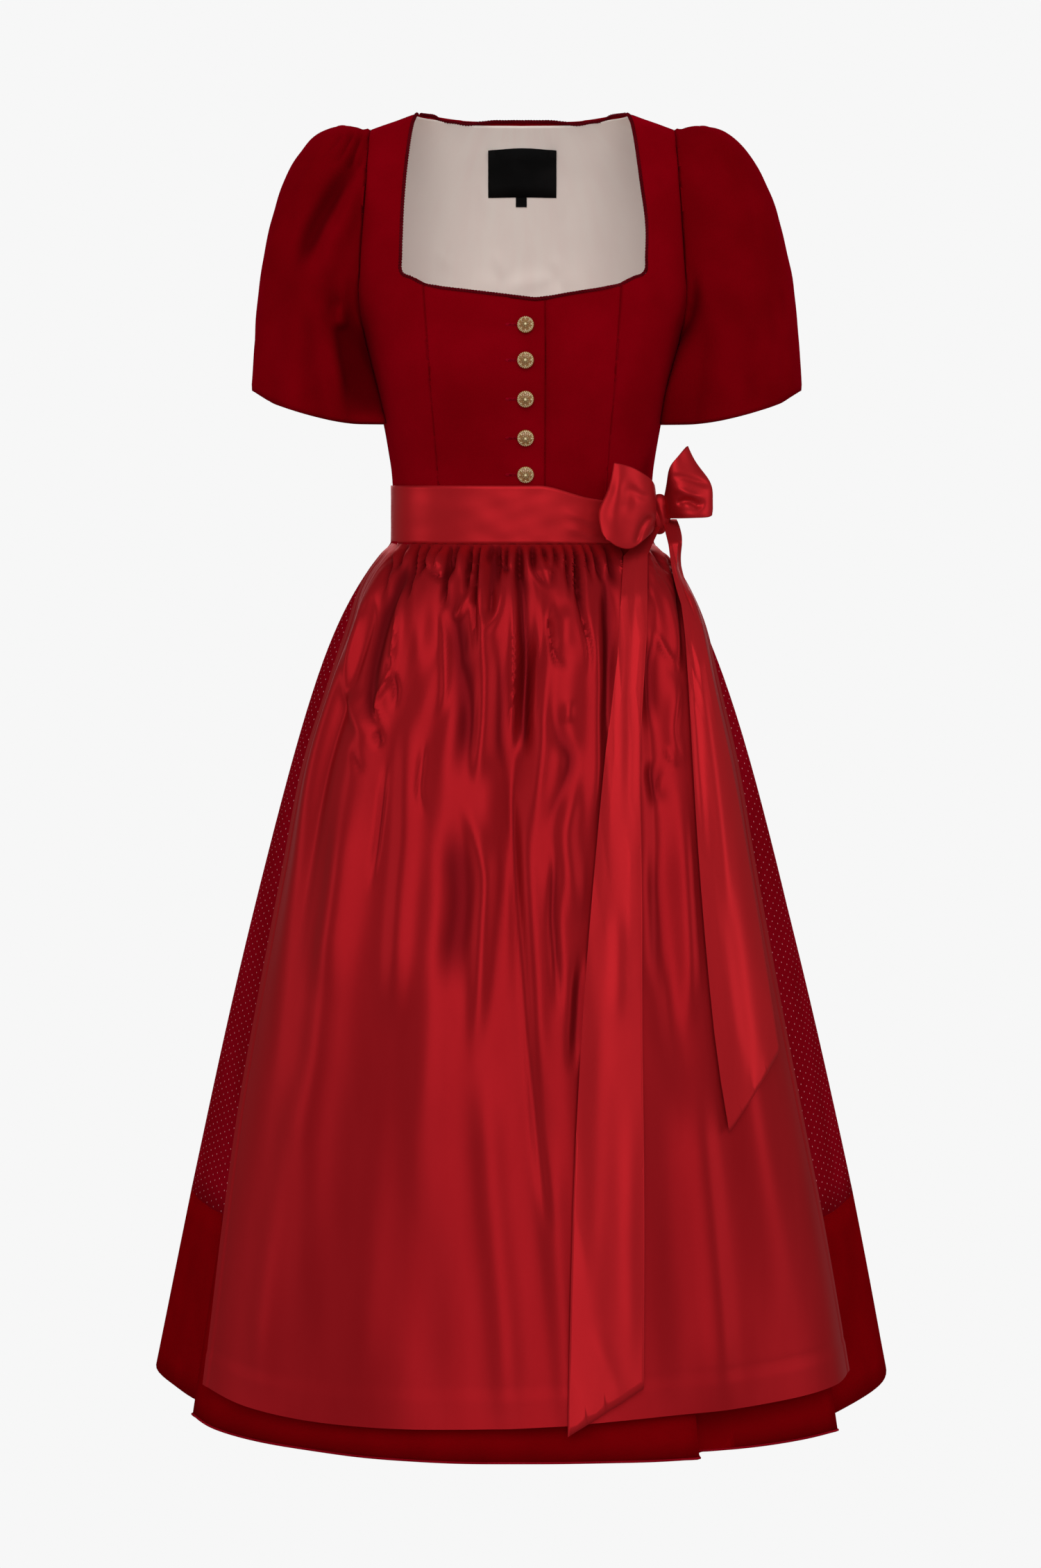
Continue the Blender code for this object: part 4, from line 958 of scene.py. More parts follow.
@dataclass
class Bodice(Section):
    """The velvet bodice: its fronts, side fronts and back, and the satin lining that shows in the neck."""

    seam_width: float = 0.0022
    seam_depth: float = 0.0007
    core_top: float = -0.12
    facing_out: float = 0.3
    neck_lift: float = 0.0042
    neck_low: float = 0.062
    neck_reach: float = 0.042
    neck_drop: float = 0.0006
    neck_drop_reach: float = 0.035
    neck_heights: Span = (-0.045, -0.008)
    front_depth: float = 0.030
    levels: int = 3
    wrap_radius: float = 0.12
    lining_share: float = 0.6
    lining_strip: Span = (0.002, 0.012)
    neck_pushes: tuple[Push, ...] = (
        Push((-95, 166), (10, 10), (0, -5.5)),
        Push((95, 166), (10, 10), (0, -5.5)),
        Push((-116, 154), (8, 8), (-1, 3.5)),
        Push((117, 154), (9, 9), (2, 2.5)),
        Push((114, 115), (9, 36), (4, 0)),
    )
    lining_creases: tuple[Crease, ...] = (
        Crease(((-52, 30), (-30, 34), (0, 31), (28, 36), (50, 29)), 6.0, 1.6),
        Crease(((-48, 52), (-38, 70), (-34, 96)), 5.0, 1.5),
        Crease(((46, 50), (40, 76), (38, 104)), 5.0, 1.5),
        Crease(((-88, 118), (-80, 134), (-70, 146)), 3.0, 1.6),
        Crease(((-84, 108), (-72, 124), (-62, 130)), 3.0, -1.4),
        Crease(((-60, 150), (-20, 160), (30, 154), (70, 160)), 9.0, 1.4),
        Crease(((-30, 120), (-20, 150), (-24, 180)), 6.0, -1.2),
        Crease(((30, 124), (36, 150), (30, 184)), 6.0, -1.2),
    )
    cuts: tuple[tuple[str, Cut], ...] = (
        ("bodice_front_left", Cut(0.110, 0.220, Hold.STRETCHED, 0.0206)),
        ("bodice_front_right", Cut(0.120, 0.220, Hold.STRETCHED, 0.0231)),
        ("bodice_side_front_left", Cut(0.130, 0.410, Hold.STRETCHED, 0.0330)),
        ("bodice_side_front_right", Cut(0.130, 0.410, Hold.STRETCHED, 0.0330)),
        ("bodice_back", Cut(0.420, 0.400, Hold.STRETCHED, 0.1390)),
    )

    def directions(self, places: Array) -> Array:
        """Returns the way out from the body's core at each place, up at the shoulders.

        Args:
            places: rows of x, y and z.

        Returns:
            Rows of length 1.
        """
        core = np.zeros(places.shape)
        core[:, 2] = np.minimum(places[:, 2], self.core_top)
        away = places - core
        return away / np.linalg.norm(away, axis=1, keepdims=True)

    def even_neck(self, places: Array) -> Array:
        """Returns the places with the back's upper edge in a straighter line and the front's corners squarer.

        Args:
            places: rows of x, y and z.

        Returns:
            The moved rows.
        """
        across = np.abs(places[:, 0])
        lift = self.neck_lift * bell(across - self.neck_low, self.neck_reach)
        lift -= self.neck_drop * bell(across, self.neck_drop_reach)
        moved = places.copy()
        lift *= ease(*self.neck_heights, places[:, 2])
        moved[:, 2] += lift * ease(0.0, self.front_depth, places[:, 1])
        front = moved.copy()
        for push in self.neck_pushes:
            push.apply(front)
        return moved + (front - moved) * ease(0.0, -self.front_depth, places[:, 1])[:, None]

    def build_panels(self) -> None:
        """Builds the velvet panels, with each cut edge turned into its seam."""
        for index, (node, cut) in enumerate(self.cuts):
            piece = fine_shell(node, velvet_named(node), self.levels, beside=("bodice_",))
            places = vertex_places(piece)
            sink = self.seam_depth * bell(rim_distance(piece), self.seam_width)
            normals, ways = vertex_normals(piece), self.directions(places)
            sink *= np.einsum("ij,ij->i", normals, ways) > self.facing_out
            ease_off = SoftNoise(0.0004, 0.09, 1.6, seed=11 + index).at(places[:, 0], places[:, 2])
            set_places(piece, self.even_neck(places + ways * (ease_off - sink)[:, None]))
            wrap_uv(piece, self.wrap_radius, -1.0 if node == "bodice_back" else 1.0)
            self.dress(piece, Slot.VELVET, node)
            cut.declare(piece, "waistband")

    def build_lining(self) -> None:
        """Builds the satin lining of the back, bare and softly creased."""
        piece = fine_shell("back_lining", "satin_lining", self.levels)
        places = vertex_places(piece)
        creases = relief_of(self.lining_creases, places[:, 0], -places[:, 2])
        creases += SoftNoise(0.0005, 0.07, 1.3, seed=5).at(places[:, 0], places[:, 2])
        sink = np.abs(creases) * ease(*self.lining_strip, rim_distance(piece)) * self.lining_share
        set_places(piece, self.even_neck(places - self.directions(places) * sink[:, None]))
        wrap_uv(piece, self.wrap_radius, -1.0)
        self.dress(piece, Slot.LINING_SATIN, "back_lining")
        Cut(0.400, 0.390, Hold.STRETCHED, 0.1350).declare(piece, "velvet_back")

    def build(self) -> None:
        """Builds the whole bodice."""
        self.build_panels()
        self.build_lining()


@dataclass
class Sleeves(Section):
    """The short puffed sleeves, with the gathers of their heads and the folds that hang from them.

    Heights and depths are the garment's own, in metres. A span is where a share of 0 ends and 1 starts.
    """

    axis_top: Point3 = (0.158, 0.0, -0.110)
    axis_end: Point3 = (0.212, 0.0, -0.290)
    levels: int = 3
    wrap_radius: float = 0.065
    wrap_middle: float = 0.19
    front_depths: Span = (0.010, -0.030)
    back_share: float = 0.6
    back_stretch: float = 1.04
    back_drop: float = 0.012
    rim_strip: float = 0.012
    rim_hold: float = 0.35
    armhole_calm: float = 0.34
    armhole_middle: float = -0.175
    armhole_half: float = 0.055
    hem_width: float = 0.0020
    hem_depth: float = 0.0006
    hem_curve: float = 0.007
    hem_turn: Span = (0.55, 1.0)
    hem_middle: float = -0.285
    hem_half: float = 0.022
    body_gap: float = 0.0002
    body_reach: float = 0.030
    inner_turn: Span = (0.15, 0.85)
    inner_heights: Span = (-0.120, -0.165)
    evening: int = 24
    # Painted shade in the sleeve's folds: the trough depth at which it is full, and its strength.
    fold_shade_depth: float = 0.0085
    fold_shade_share: float = 0.6
    right_creases: tuple[Crease, ...] = (
        Crease(((-150, 26), (-180, 68), (-206, 118), (-222, 170)), 10.0, -12.0, fade=0.4, lean=0.3),
        Crease(((-170, 26), (-198, 62), (-220, 110)), 10.0, 6.0),
        Crease(((-142, 60), (-162, 96), (-180, 132), (-186, 170)), 9.0, 7.0, fade=0.25),
        Crease(((-188, 150), (-171, 222), (-160, 268), (-155, 320)), 12.0, -11.0, fade=0.4),
        Crease(((-196, 170), (-184, 214), (-176, 262), (-172, 300)), 9.0, 5.0),
        Crease(((-208, 190), (-204, 240), (-202, 296)), 12.0, -3.0, fade=0.25),
        Crease(((-147, 12), (-150, 34), (-158, 58)), 2.6, -5.5, fade=0.25),
        Crease(((-153, 10), (-159, 30), (-170, 54)), 2.6, -5.5, fade=0.25),
        Crease(((-161, 10), (-170, 32), (-184, 56)), 3.0, -5.0, fade=0.25),
        Crease(((-170, 14), (-182, 34), (-196, 58)), 3.4, -3.5, fade=0.25),
    )
    left_creases: tuple[Crease, ...] = (
        Crease(((160, 150), (161, 200), (156, 240)), 8.0, -7.0),
        Crease(((176, 40), (202, 84), (216, 130)), 11.0, 3.5),
        Crease(((214, 180), (218, 240), (214, 296)), 10.0, -2.0),
        Crease(((188, 170), (190, 240), (186, 296)), 12.0, 2.0),
    )

    def directions(self, side: float, places: Array) -> Array:
        """Returns the way out from the sleeve's own axis at each place.

        Args:
            side: 1 for the left sleeve and -1 for the right.
            places: rows of x, y and z.

        Returns:
            Rows of length 1.
        """
        top = np.array(self.axis_top) * (side, 1.0, 1.0)
        run = np.array(self.axis_end) * (side, 1.0, 1.0) - top
        share = np.clip((places - top) @ run / (run @ run), 0.0, 1.0)
        away = places - top - share[:, None] * run
        return away / np.linalg.norm(away, axis=1, keepdims=True)

    def gap_to_body(self, side: float, places: Array) -> Array:
        """Returns how far each place can move in to rest by the bodice's side, in metres.

        Args:
            side: 1 for the left sleeve and -1 for the right.
            places: rows of x, y and z.

        Returns:
            The distances, 0 where the bodice isn't near.
        """
        body = surface_of(bpy.data.objects[velvet_named(node)].data for node in (
            "bodice_back", "bodice_side_front_left", "bodice_side_front_right"))
        way = Vector((-side, 0.0, 0.0))
        hits = [body.ray_cast(Vector(place), way, self.body_reach)[3] for place in places]
        return np.array([0.0 if hit is None else max(hit - self.body_gap, 0.0) for hit in hits])

    def relief(self, piece: Piece, creases: tuple[Crease, ...]) -> Array:
        """Returns the height of a sleeve's folds, calm at its rims, and of its turned hem.

        Args:
            piece: the sleeve.
            creases: its folds in the front view. Its back has the same ones, a little softer and lower.

        Returns:
            One height in metres for each vertex.
        """
        places = vertex_places(piece)
        front = ease(*self.front_depths, places[:, 1])
        relief = relief_of(creases, places[:, 0], -places[:, 2]) * front
        behind = relief_of(creases, places[:, 0] * self.back_stretch, -places[:, 2] - self.back_drop)
        relief += self.back_share * behind * (1.0 - front)
        relief += SoftNoise(0.0009, 0.06, 1.5, seed=21).at(places[:, 0] + places[:, 1], places[:, 2])
        rim = rim_distance(piece)
        hold = self.rim_hold - self.armhole_calm * bell(places[:, 2] - self.armhole_middle, self.armhole_half)
        calm = hold + (1.0 - hold) * ease(0.0, self.rim_strip, rim)
        return relief * calm - self.hem_depth * bell(rim, self.hem_width)

    def build_sleeve(self, word: str, side: float, creases: tuple[Crease, ...]) -> None:
        """Builds one sleeve, which rests by the bodice's side.

        Args:
            word: left or right, as the wearer has it.
            side: 1 for the left and -1 for the right.
            creases: its folds in the front view.
        """
        piece = fine_shell("sleeve_" + word, "velvet_sleeve_" + word, self.levels, beside=("bodice_",))
        places = vertex_places(piece)
        relief = self.relief(piece, creases)
        ways = self.directions(side, places)
        inner = ease(*self.inner_turn, -side * ways[:, 0]) * ease(*self.inner_heights, places[:, 2])
        moved = places + ways * relief[:, None]
        moved[:, 0] -= side * evened(piece, inner * self.gap_to_body(side, moved), self.evening)
        outer = self.hem_curve * ease(*self.hem_turn, side * ways[:, 0])
        moved[:, 2] += outer * bell(places[:, 2] - self.hem_middle, self.hem_half)
        set_places(piece, moved)
        # Painted shade: the velvet darkens in the sleeve's troughs, the more the deeper they are.
        set_fold_shade(piece, self.fold_shade_share * ease(0.0, self.fold_shade_depth, -relief))
        angle = np.arctan2(places[:, 1], side * places[:, 0] - self.wrap_middle)
        set_uv(piece, angle * self.wrap_radius, places[:, 2])
        self.dress(piece, Slot.SHADED_SLEEVE_VELVET, "sleeve_" + word)
        Cut(0.420, 0.290, Hold.HUNG, 0.0840).declare(piece, "velvet_side_front_" + word)

    def build(self) -> None:
        """Builds both sleeves."""
        self.build_sleeve("right", -1.0, self.right_creases)
        self.build_sleeve("left", 1.0, self.left_creases)


@dataclass
class Skirt(Section):
    """The flared skirt: dotted panels over plain hem bands.

    Each panel has its word, its width, and the areas of its dotted cloth and of its band.
    """

    panels: tuple[tuple[str, float, float, float], ...] = (
        ("front", 0.76, 0.335, 0.1340),
        ("side_left", 0.40, 0.165, 0.0670),
        ("side_right", 0.40, 0.164, 0.0670),
        ("back_left", 0.44, 0.191, 0.0760),
        ("back_right", 0.40, 0.169, 0.0675),
    )
    panel_length: float = 0.70
    band_length: float = 0.19
    levels: int = 2
    apex_height: float = 0.030
    cone_turn: float = 0.269
    wave_radius: float = 0.25
    full_waves: float = -0.60

    def cone_uv(self, piece: Piece, facing: float) -> None:
        """Unrolls a panel as part of a cone, so that its pattern keeps its size from waist to hem.

        Args:
            piece: the panel.
            facing: 1 for a panel in front and -1 for one behind.
        """
        places = vertex_places(piece)
        reach = np.hypot(places[:, 0], places[:, 1])
        slant = np.hypot(reach, self.apex_height - places[:, 2])
        angle = np.arctan2(places[:, 0] * facing, -places[:, 1] * facing) * self.cone_turn
        set_uv(piece, slant * np.sin(angle), -slant * np.cos(angle))

    def build_panel(self, prefix: str, word: str, slot: Slot) -> Piece:
        """Builds one panel, or the band below it, with its soft unevenness.

        Args:
            prefix: how its solid's name begins.
            word: which panel it is.
            slot: its finish.

        Returns:
            The piece.
        """
        piece = fine_shell(prefix + word, "cloth_" + prefix + word, self.levels, beside=(prefix,))
        places = vertex_places(piece)
        angle = np.arctan2(places[:, 0], -places[:, 1])
        waves = SoftNoise(0.0022, 0.16, 6.0, seed=31).at(angle * self.wave_radius, places[:, 2])
        waves *= ease(BAND_BOTTOM, self.full_waves, places[:, 2])
        set_places(piece, places + outward(places) * waves[:, None])
        self.cone_uv(piece, -1.0 if "back" in word else 1.0)
        self.dress(piece, slot, prefix + word)
        return piece

    def build(self) -> None:
        """Builds the whole skirt, with each band below its panel."""
        for word, width, cloth_area, band_area in self.panels:
            cloth = self.build_panel("skirt_", word, Slot.DOTTED_CLOTH)
            Cut(width, self.panel_length, Hold.HUNG, cloth_area).declare(cloth, "waistband")
            band = self.build_panel("hem_band_", word, Slot.HEM_CLOTH)
            Cut(width, self.band_length, Hold.HUNG, band_area).declare(band, cloth.name)


@dataclass
class Apron(Section):
    """The gathered satin apron: the solid's own hanging form, with uneven gathers and the folds of its cloth.

    Creases are lines in the front view, in millimetres from the centre and down from the waistband. Fields that
    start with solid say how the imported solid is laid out. A span is where a share of 0 ends and 1 starts.
    """

    node: str = "apron"
    solid_rows: int = 14
    solid_columns: int = 81
    solid_gathers: int = 20
    solid_gather_depth: float = 0.003
    solid_gather_start: float = 0.010
    solid_gather_fade: Span = (0.05, 0.30)
    solid_edge_calm: float = 0.12
    rows: int = 190
    columns: int = 250
    row_power: float = 1.3
    wall: float = 0.0009
    spare: float = 0.0014
    puff: float = 0.0025
    far: float = 0.050
    puff_start: float = 0.010
    puff_end: Span = (0.05, 0.16)
    top_calm: float = 0.008
    edge_calm: float = 0.035
    hem_depth: float = 0.030
    side_hem: float = 0.009
    hem_step: float = 0.0005
    hem_slope: float = 0.0012
    stitch_width: float = 0.0010
    stitch_share: float = 0.8
    # Painted shade in the pockets and troughs: the trough depths at which it starts and is full, its strength,
    # and the drop over which it weakens.
    fold_shade_start: float = 0.0003
    fold_shade_depth: float = 0.0055
    fold_shade_share: float = 0.75
    fold_shade_fade: Span = (0.30, 0.60)
    gathers: tuple[int, ...] = (
        -121, -111, -99, -90, -78, -69, -62, -49, -41, -30, -22, -15, -3, 10, 20, 31, 41, 50, 59, 67, 80, 95,
        108, 122, 131)
    creases: tuple[Crease, ...] = (
        # The middle: a deep valley between two lips, and a short fold with a round end beside it
        Crease(((-3, -10), (-1, 42), (1, 87), (3, 138), (3, 176), (3, 198)), 6.5, -7.0, fade=0.15),
        Crease(((-9, 26), (-8, 74), (-8, 131), (-9, 176), (-5, 207)), 3.5, 3.5),
        Crease(((11, 29), (14, 74), (11, 131), (8, 175), (6, 198)), 4.0, 4.0),
        Crease(((21, 48), (22, 87), (19, 137), (17, 188), (12, 232), (8, 294)), 8.0, 4.5),
        Crease(((-27, -8), (-29, 29), (-30, 55), (-32, 69)), 4.0, -5.0, fade=0.12),
        Crease(((-19, 29), (-20, 48), (-24, 64), (-32, 76), (-39, 66)), 3.0, 3.0),
        Crease(((-39, -8), (-39, 42), (-37, 74), (-34, 112), (-36, 156), (-40, 201), (-44, 232)), 7.0, 5.0,
               fade=0.2),
        Crease(((-64, 20), (-62, 61), (-59, 93), (-55, 124), (-52, 163), (-56, 200), (-60, 232)), 11.0, -6.0),
        Crease(((-45, 38), (-55, 56), (-65, 73)), 3.5, 3.5),
        Crease(((-20, 80), (-20, 137), (-21, 188), (-13, 226)), 8.0, -4.0),
        # The broad ridge at the wearer's right, and the pocket above it
        Crease(((-107, 17), (-97, 42), (-92, 74), (-89, 106), (-94, 144), (-104, 176), (-106, 220),
                (-106, 264), (-111, 327), (-115, 389), (-120, 452)), 13.0, 6.0, fade=0.2),
        Crease(((-76, 42), (-73, 74), (-71, 112), (-73, 144), (-82, 166)), 4.0, 3.5),
        Crease(((-94, 2), (-92, 18), (-84, 27), (-73, 31), (-68, 20)), 2.6, -3.5, fade=0.2),
        Crease(((-81, 6), (-78, 22)), 6.0, 3.5),
        Crease(((-64, -4), (-66, 18), (-71, 28), (-76, 37)), 2.6, -4.0, fade=0.2),
        Crease(((-50, -4), (-48, 19), (-51, 25), (-56, 23)), 2.2, -2.8, fade=0.2),
        Crease(((-44, -10), (-45, 29), (-44, 61), (-43, 105)), 3.0, -4.5),
        Crease(((-90, 176), (-93, 201), (-94, 233), (-87, 250)), 3.0, -2.5),
        # Small pockets and valleys towards the bow
        Crease(((-24, -4), (-21, 17), (-16, 24), (-8, 19)), 2.5, -3.2, fade=0.2),
        Crease(((9, -4), (11, 23), (18, 34), (26, 40)), 2.5, -3.2, fade=0.2),
        Crease(((29, -4), (29, 26), (26, 40)), 2.2, -3.2, fade=0.2),
        Crease(((19, 8), (22, 30)), 6.0, 3.5),
        Crease(((28, 49), (25, 67), (27, 90), (34, 109), (46, 118)), 3.0, -4.0),
        Crease(((39, 54), (38, 80), (38, 102)), 8.0, 4.0),
        Crease(((48, -10), (50, 35), (55, 64), (61, 93), (62, 128)), 3.0, -4.5),
        Crease(((56, 13), (61, 48), (66, 87), (71, 138), (70, 188), (66, 232), (59, 295)), 9.0, 5.0),
        Crease(((79, -10), (79, 48), (80, 93), (78, 144), (76, 195), (73, 232)), 7.0, -6.0),
        Crease(((34, 128), (30, 150), (35, 175), (44, 194), (40, 219), (30, 250), (28, 288)), 8.0, -4.0),
        Crease(((43, 140), (42, 165)), 5.0, 2.5),
        # The long curved fold at the wearer's right side, with the pocket at its end
        Crease(((-124, 4), (-135, 36), (-146, 62), (-157, 95), (-160, 127), (-157, 158), (-146, 178),
                (-137, 188)), 8.0, 6.0, fade=0.25),
        Crease(((-106, 2), (-115, 36), (-126, 62), (-135, 94), (-142, 126), (-144, 151), (-137, 177)),
               9.0, -6.0, fade=0.2),
        Crease(((-110, 30), (-115, 55), (-118, 84), (-121, 106), (-128, 129), (-138, 146), (-134, 159),
                (-123, 173)), 3.2, 4.0, fade=0.2),
        Crease(((-116, 97), (-124, 114), (-119, 132), (-120, 157)), 3.2, -3.5),
        Crease(((-139, 170), (-132, 188)), 4.0, -4.0),
        Crease(((-161, 184), (-156, 199), (-149, 214)), 4.0, -2.0),
        Crease(((-125, 192), (-129, 221), (-134, 265), (-141, 322)), 3.5, -3.0),
        Crease(((-160, 228), (-172, 329), (-188, 424)), 18.0, 4.5),
        # The middle of its length
        Crease(((-67, 232), (-63, 276), (-58, 326), (-64, 375), (-72, 425)), 16.0, -5.0),
        Crease(((-63, 204), (-50, 245), (-40, 276), (-34, 301), (-36, 344), (-40, 419), (-46, 487)), 8.0, 4.5),
        Crease(((-11, 201), (-8, 264), (-2, 344), (3, 418), (8, 480), (14, 542), (26, 633)), 4.5, -2.4,
               fade=0.15),
        Crease(((-1, 201), (3, 263), (7, 325), (12, 387), (15, 449), (22, 523)), 10.0, 5.0),
        Crease(((28, 250), (30, 294), (28, 337), (31, 387), (34, 436)), 5.0, -4.0),
        Crease(((44, 200), (44, 238), (40, 263), (44, 300), (49, 350)), 10.0, 4.0),
        Crease(((54, 363), (50, 424), (46, 486)), 6.0, -4.0),
        # Broad columns down to the hem
        Crease(((-120, 452), (-130, 545), (-140, 638), (-150, 790)), 20.0, 2.6, fade=0.3),
        Crease(((-40, 450), (-33, 511), (-26, 603), (-17, 694), (-11, 820)), 14.0, 3.5, fade=0.25),
        Crease(((-78, 450), (-81, 573), (-83, 695), (-86, 820)), 20.0, -2.0, fade=0.3),
        Crease(((22, 523), (30, 633), (39, 742), (42, 820)), 12.0, 3.5, fade=0.25),
        Crease(((-201, 456), (-219, 583), (-235, 709), (-242, 800)), 20.0, 3.5, fade=0.25),
        Crease(((-168, 454), (-183, 610), (-198, 753), (-202, 800)), 20.0, -1.6, fade=0.3),
        # Between and past the two tails
        Crease(((122, 20), (130, 36), (136, 52), (142, 78), (144, 104), (145, 126)), 5.0, 3.5),
        Crease(((143, 14), (145, 30), (149, 62), (151, 94), (152, 123)), 4.0, -5.0),
        Crease(((120, 78), (119, 113), (120, 145), (121, 177)), 8.0, -4.5),
        Crease(((121, 78), (130, 94), (138, 107), (148, 121)), 2.6, 3.0),
        Crease(((144, 117), (141, 145), (138, 177), (143, 193), (148, 209)), 6.0, 4.0),
        Crease(((131, 187), (137, 196), (145, 204)), 2.6, 2.8),
        Crease(((120, 196), (123, 221), (127, 232), (133, 221)), 8.0, -4.0),
        Crease(((145, 209), (147, 266), (150, 328), (152, 391), (149, 466)), 9.0, 4.0),
        Crease(((122, 265), (123, 328), (124, 421)), 10.0, -3.0),
        Crease(((158, 478), (167, 577), (178, 700), (184, 800)), 14.0, 4.0, fade=0.25),
        Crease(((126, 452), (131, 575), (140, 698), (146, 800)), 16.0, -1.8, fade=0.3),
    )

    def solid_skin(self) -> tuple[Array, Array]:
        """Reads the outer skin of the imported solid, with its regular gathers taken off.

        Returns:
            How far down the apron each row is, in metres, and the skin as rows of columns of places.
        """
        shape = merged_copy(self.node)
        places = np.array([vertex.co[:] for vertex in shape.verts])
        shape.free()
        rows = places[np.argsort(-places[:, 2], kind="stable")].reshape(self.solid_rows, -1, 3)
        skin = np.empty((self.solid_rows, self.solid_columns, 3))
        for index, row in enumerate(rows):
            row = row[np.argsort(np.arctan2(row[:, 0], -row[:, 1]), kind="stable")].reshape(-1, 2, 3)
            outer = np.argmax(np.hypot(row[:, :, 0], row[:, :, 1]), axis=1)
            skin[index] = row[np.arange(self.solid_columns), outer]
        drops = BAND_BOTTOM - skin[:, self.solid_columns // 2, 2]
        share_down = (drops / drops[-1])[:, None]
        share_across = np.linspace(0.0, 1.0, self.solid_columns)[None, :]
        calm = ease(0.0, self.solid_edge_calm, np.minimum(share_across, 1.0 - share_across))
        strength = ease(0.0, self.solid_gather_start, share_down)
        strength = strength * (1.0 - ease(*self.solid_gather_fade, share_down))
        wave = np.cos(math.tau * self.solid_gathers * share_across)
        gathers = self.solid_gather_depth * wave * strength * calm
        flat = skin.reshape(-1, 3)
        return drops, (flat + outward(flat) * gathers.reshape(-1, 1)).reshape(skin.shape)

    def uneven_gathers(self) -> tuple[Crease, ...]:
        """Returns the pinches just under the waistband and the cloth that swells between them."""
        draw = np.random.default_rng(47)
        pinches = []
        for place, following in zip(self.gathers, self.gathers[1:] + (self.gathers[-1] + 10,)):
            gap = following - place
            drift = 0.12 * place + draw.uniform(-2.0, 2.0)
            length = draw.uniform(22.0, 70.0)
            pinch = ((place, -0.6 * length), (place, 2.0), (place + 0.4 * drift, 0.5 * length),
                     (place + drift, length))
            pinches.append(Crease(pinch, draw.uniform(1.9, 3.6), -draw.uniform(6.0, 9.0)))
            middle = place + 0.5 * gap
            swell = ((middle, -0.6 * length), (middle, 3.0), (middle + drift, 0.9 * length))
            pinches.append(Crease(swell, 0.36 * gap, draw.uniform(3.0, 5.0), fade=0.4))
        return tuple(pinches)

    def sheet(self) -> tuple[Array, Array, Array]:
        """Runs a fine grid over the solid's form.

        Returns:
            The grid's places, and for each its distance across the cloth and down it, in metres.
        """
        drops, skin = self.solid_skin()
        fine_down = drops[-1] * np.linspace(0.0, 1.0, self.rows) ** self.row_power
        tall = spline(drops, skin, fine_down)
        keys = np.linspace(0.0, 1.0, self.solid_columns)
        fine_across = np.linspace(0.0, 1.0, self.columns)
        grid = spline(keys, tall.transpose(1, 0, 2), fine_across).transpose(1, 0, 2)
        steps = np.linalg.norm(np.diff(grid, axis=1), axis=2)
        across = np.concatenate([np.zeros((self.rows, 1)), np.cumsum(steps, axis=1)], axis=1)
        for row, places in zip(across, grid):
            row -= np.interp(0.0, places[:, 0], row)
        return grid, across, BAND_BOTTOM - grid[:, :, 2]

    def relief(self, grid: Array, across: Array, down: Array) -> Array:
        """Returns the height of every crease on the sheet, and of its turned hems.

        Args:
            grid: the sheet's places.
            across: each place's distance across the cloth.
            down: its distance down the cloth.

        Returns:
            The height in metres.
        """
        total = np.zeros(across.shape)
        for crease in self.uneven_gathers() + self.creases:
            line = crease.points()
            for point in line:
                row = int(np.argmin(np.abs(down[:, self.columns // 2] - point[1])))
                point[0] = np.interp(point[0], grid[row, :, 0], across[row])
            total += crease.relief(across, down, line)
        total *= 0.35 + 0.65 * ease(0.0, self.top_calm, down)
        total += SoftNoise(0.0003, 0.20, 6.0, seed=3).at(across, down) * ease(0.0, 0.05, down)
        share = np.linspace(0.0, 1.0, self.columns)[None, :]
        total *= 0.25 + 0.75 * ease(0.0, self.edge_calm, np.minimum(share, 1.0 - share))
        above_hem = down[-1:] - down
        from_side = np.minimum(across - across[:, :1], across[:, -1:] - across)
        for distance, turned in ((above_hem, self.hem_depth), (from_side, self.side_hem)):
            total += self.hem_step * (1.0 - ease(turned, turned + self.hem_slope, distance))
            stitch = bell(distance - turned - self.hem_slope, self.stitch_width)
            total -= self.stitch_share * self.hem_step * stitch
        return total

    def room(self, solids: Sequence[bpy.types.Mesh], places: Array, ways: Array) -> Array:
        """Returns how far each place may move before it meets other cloth.

        Args:
            solids: the other cloth's solids.
            places: the places.
            ways: the way that each moves.

        Returns:
            The distances in metres, less the space that is kept free.
        """
        cloth = surface_of(solids)
        hits = [cloth.ray_cast(Vector(place) - Vector(way) * MM, Vector(way), self.far)[3]
                for place, way in zip(places, ways)]
        free = np.array([self.far if hit is None else hit - MM for hit in hits])
        return np.maximum(free - self.spare, MERGE)

    def build(self) -> None:
        """Builds the apron as one thin sheet."""
        grid, across, down = self.sheet()
        flat = grid.reshape(-1, 3)
        ways = outward(flat)
        inside = self.room(solids_named("skirt_", "hem_band_"), flat, -ways)
        outside = self.room(solids_named("bow_", "waistband"), flat, ways)
        height = self.relief(grid, across, down).ravel()
        # Painted shade: the satin darkens in its troughs and pockets, and less so further down.
        folds = self.fold_shade_share * ease(self.fold_shade_start, self.fold_shade_depth, -height)
        folds = folds * (1.0 - 0.6 * ease(*self.fold_shade_fade, down.ravel()))
        height += self.puff * (ease(0.0, self.puff_start, down) * (1.0 - ease(*self.puff_end, down))).ravel()
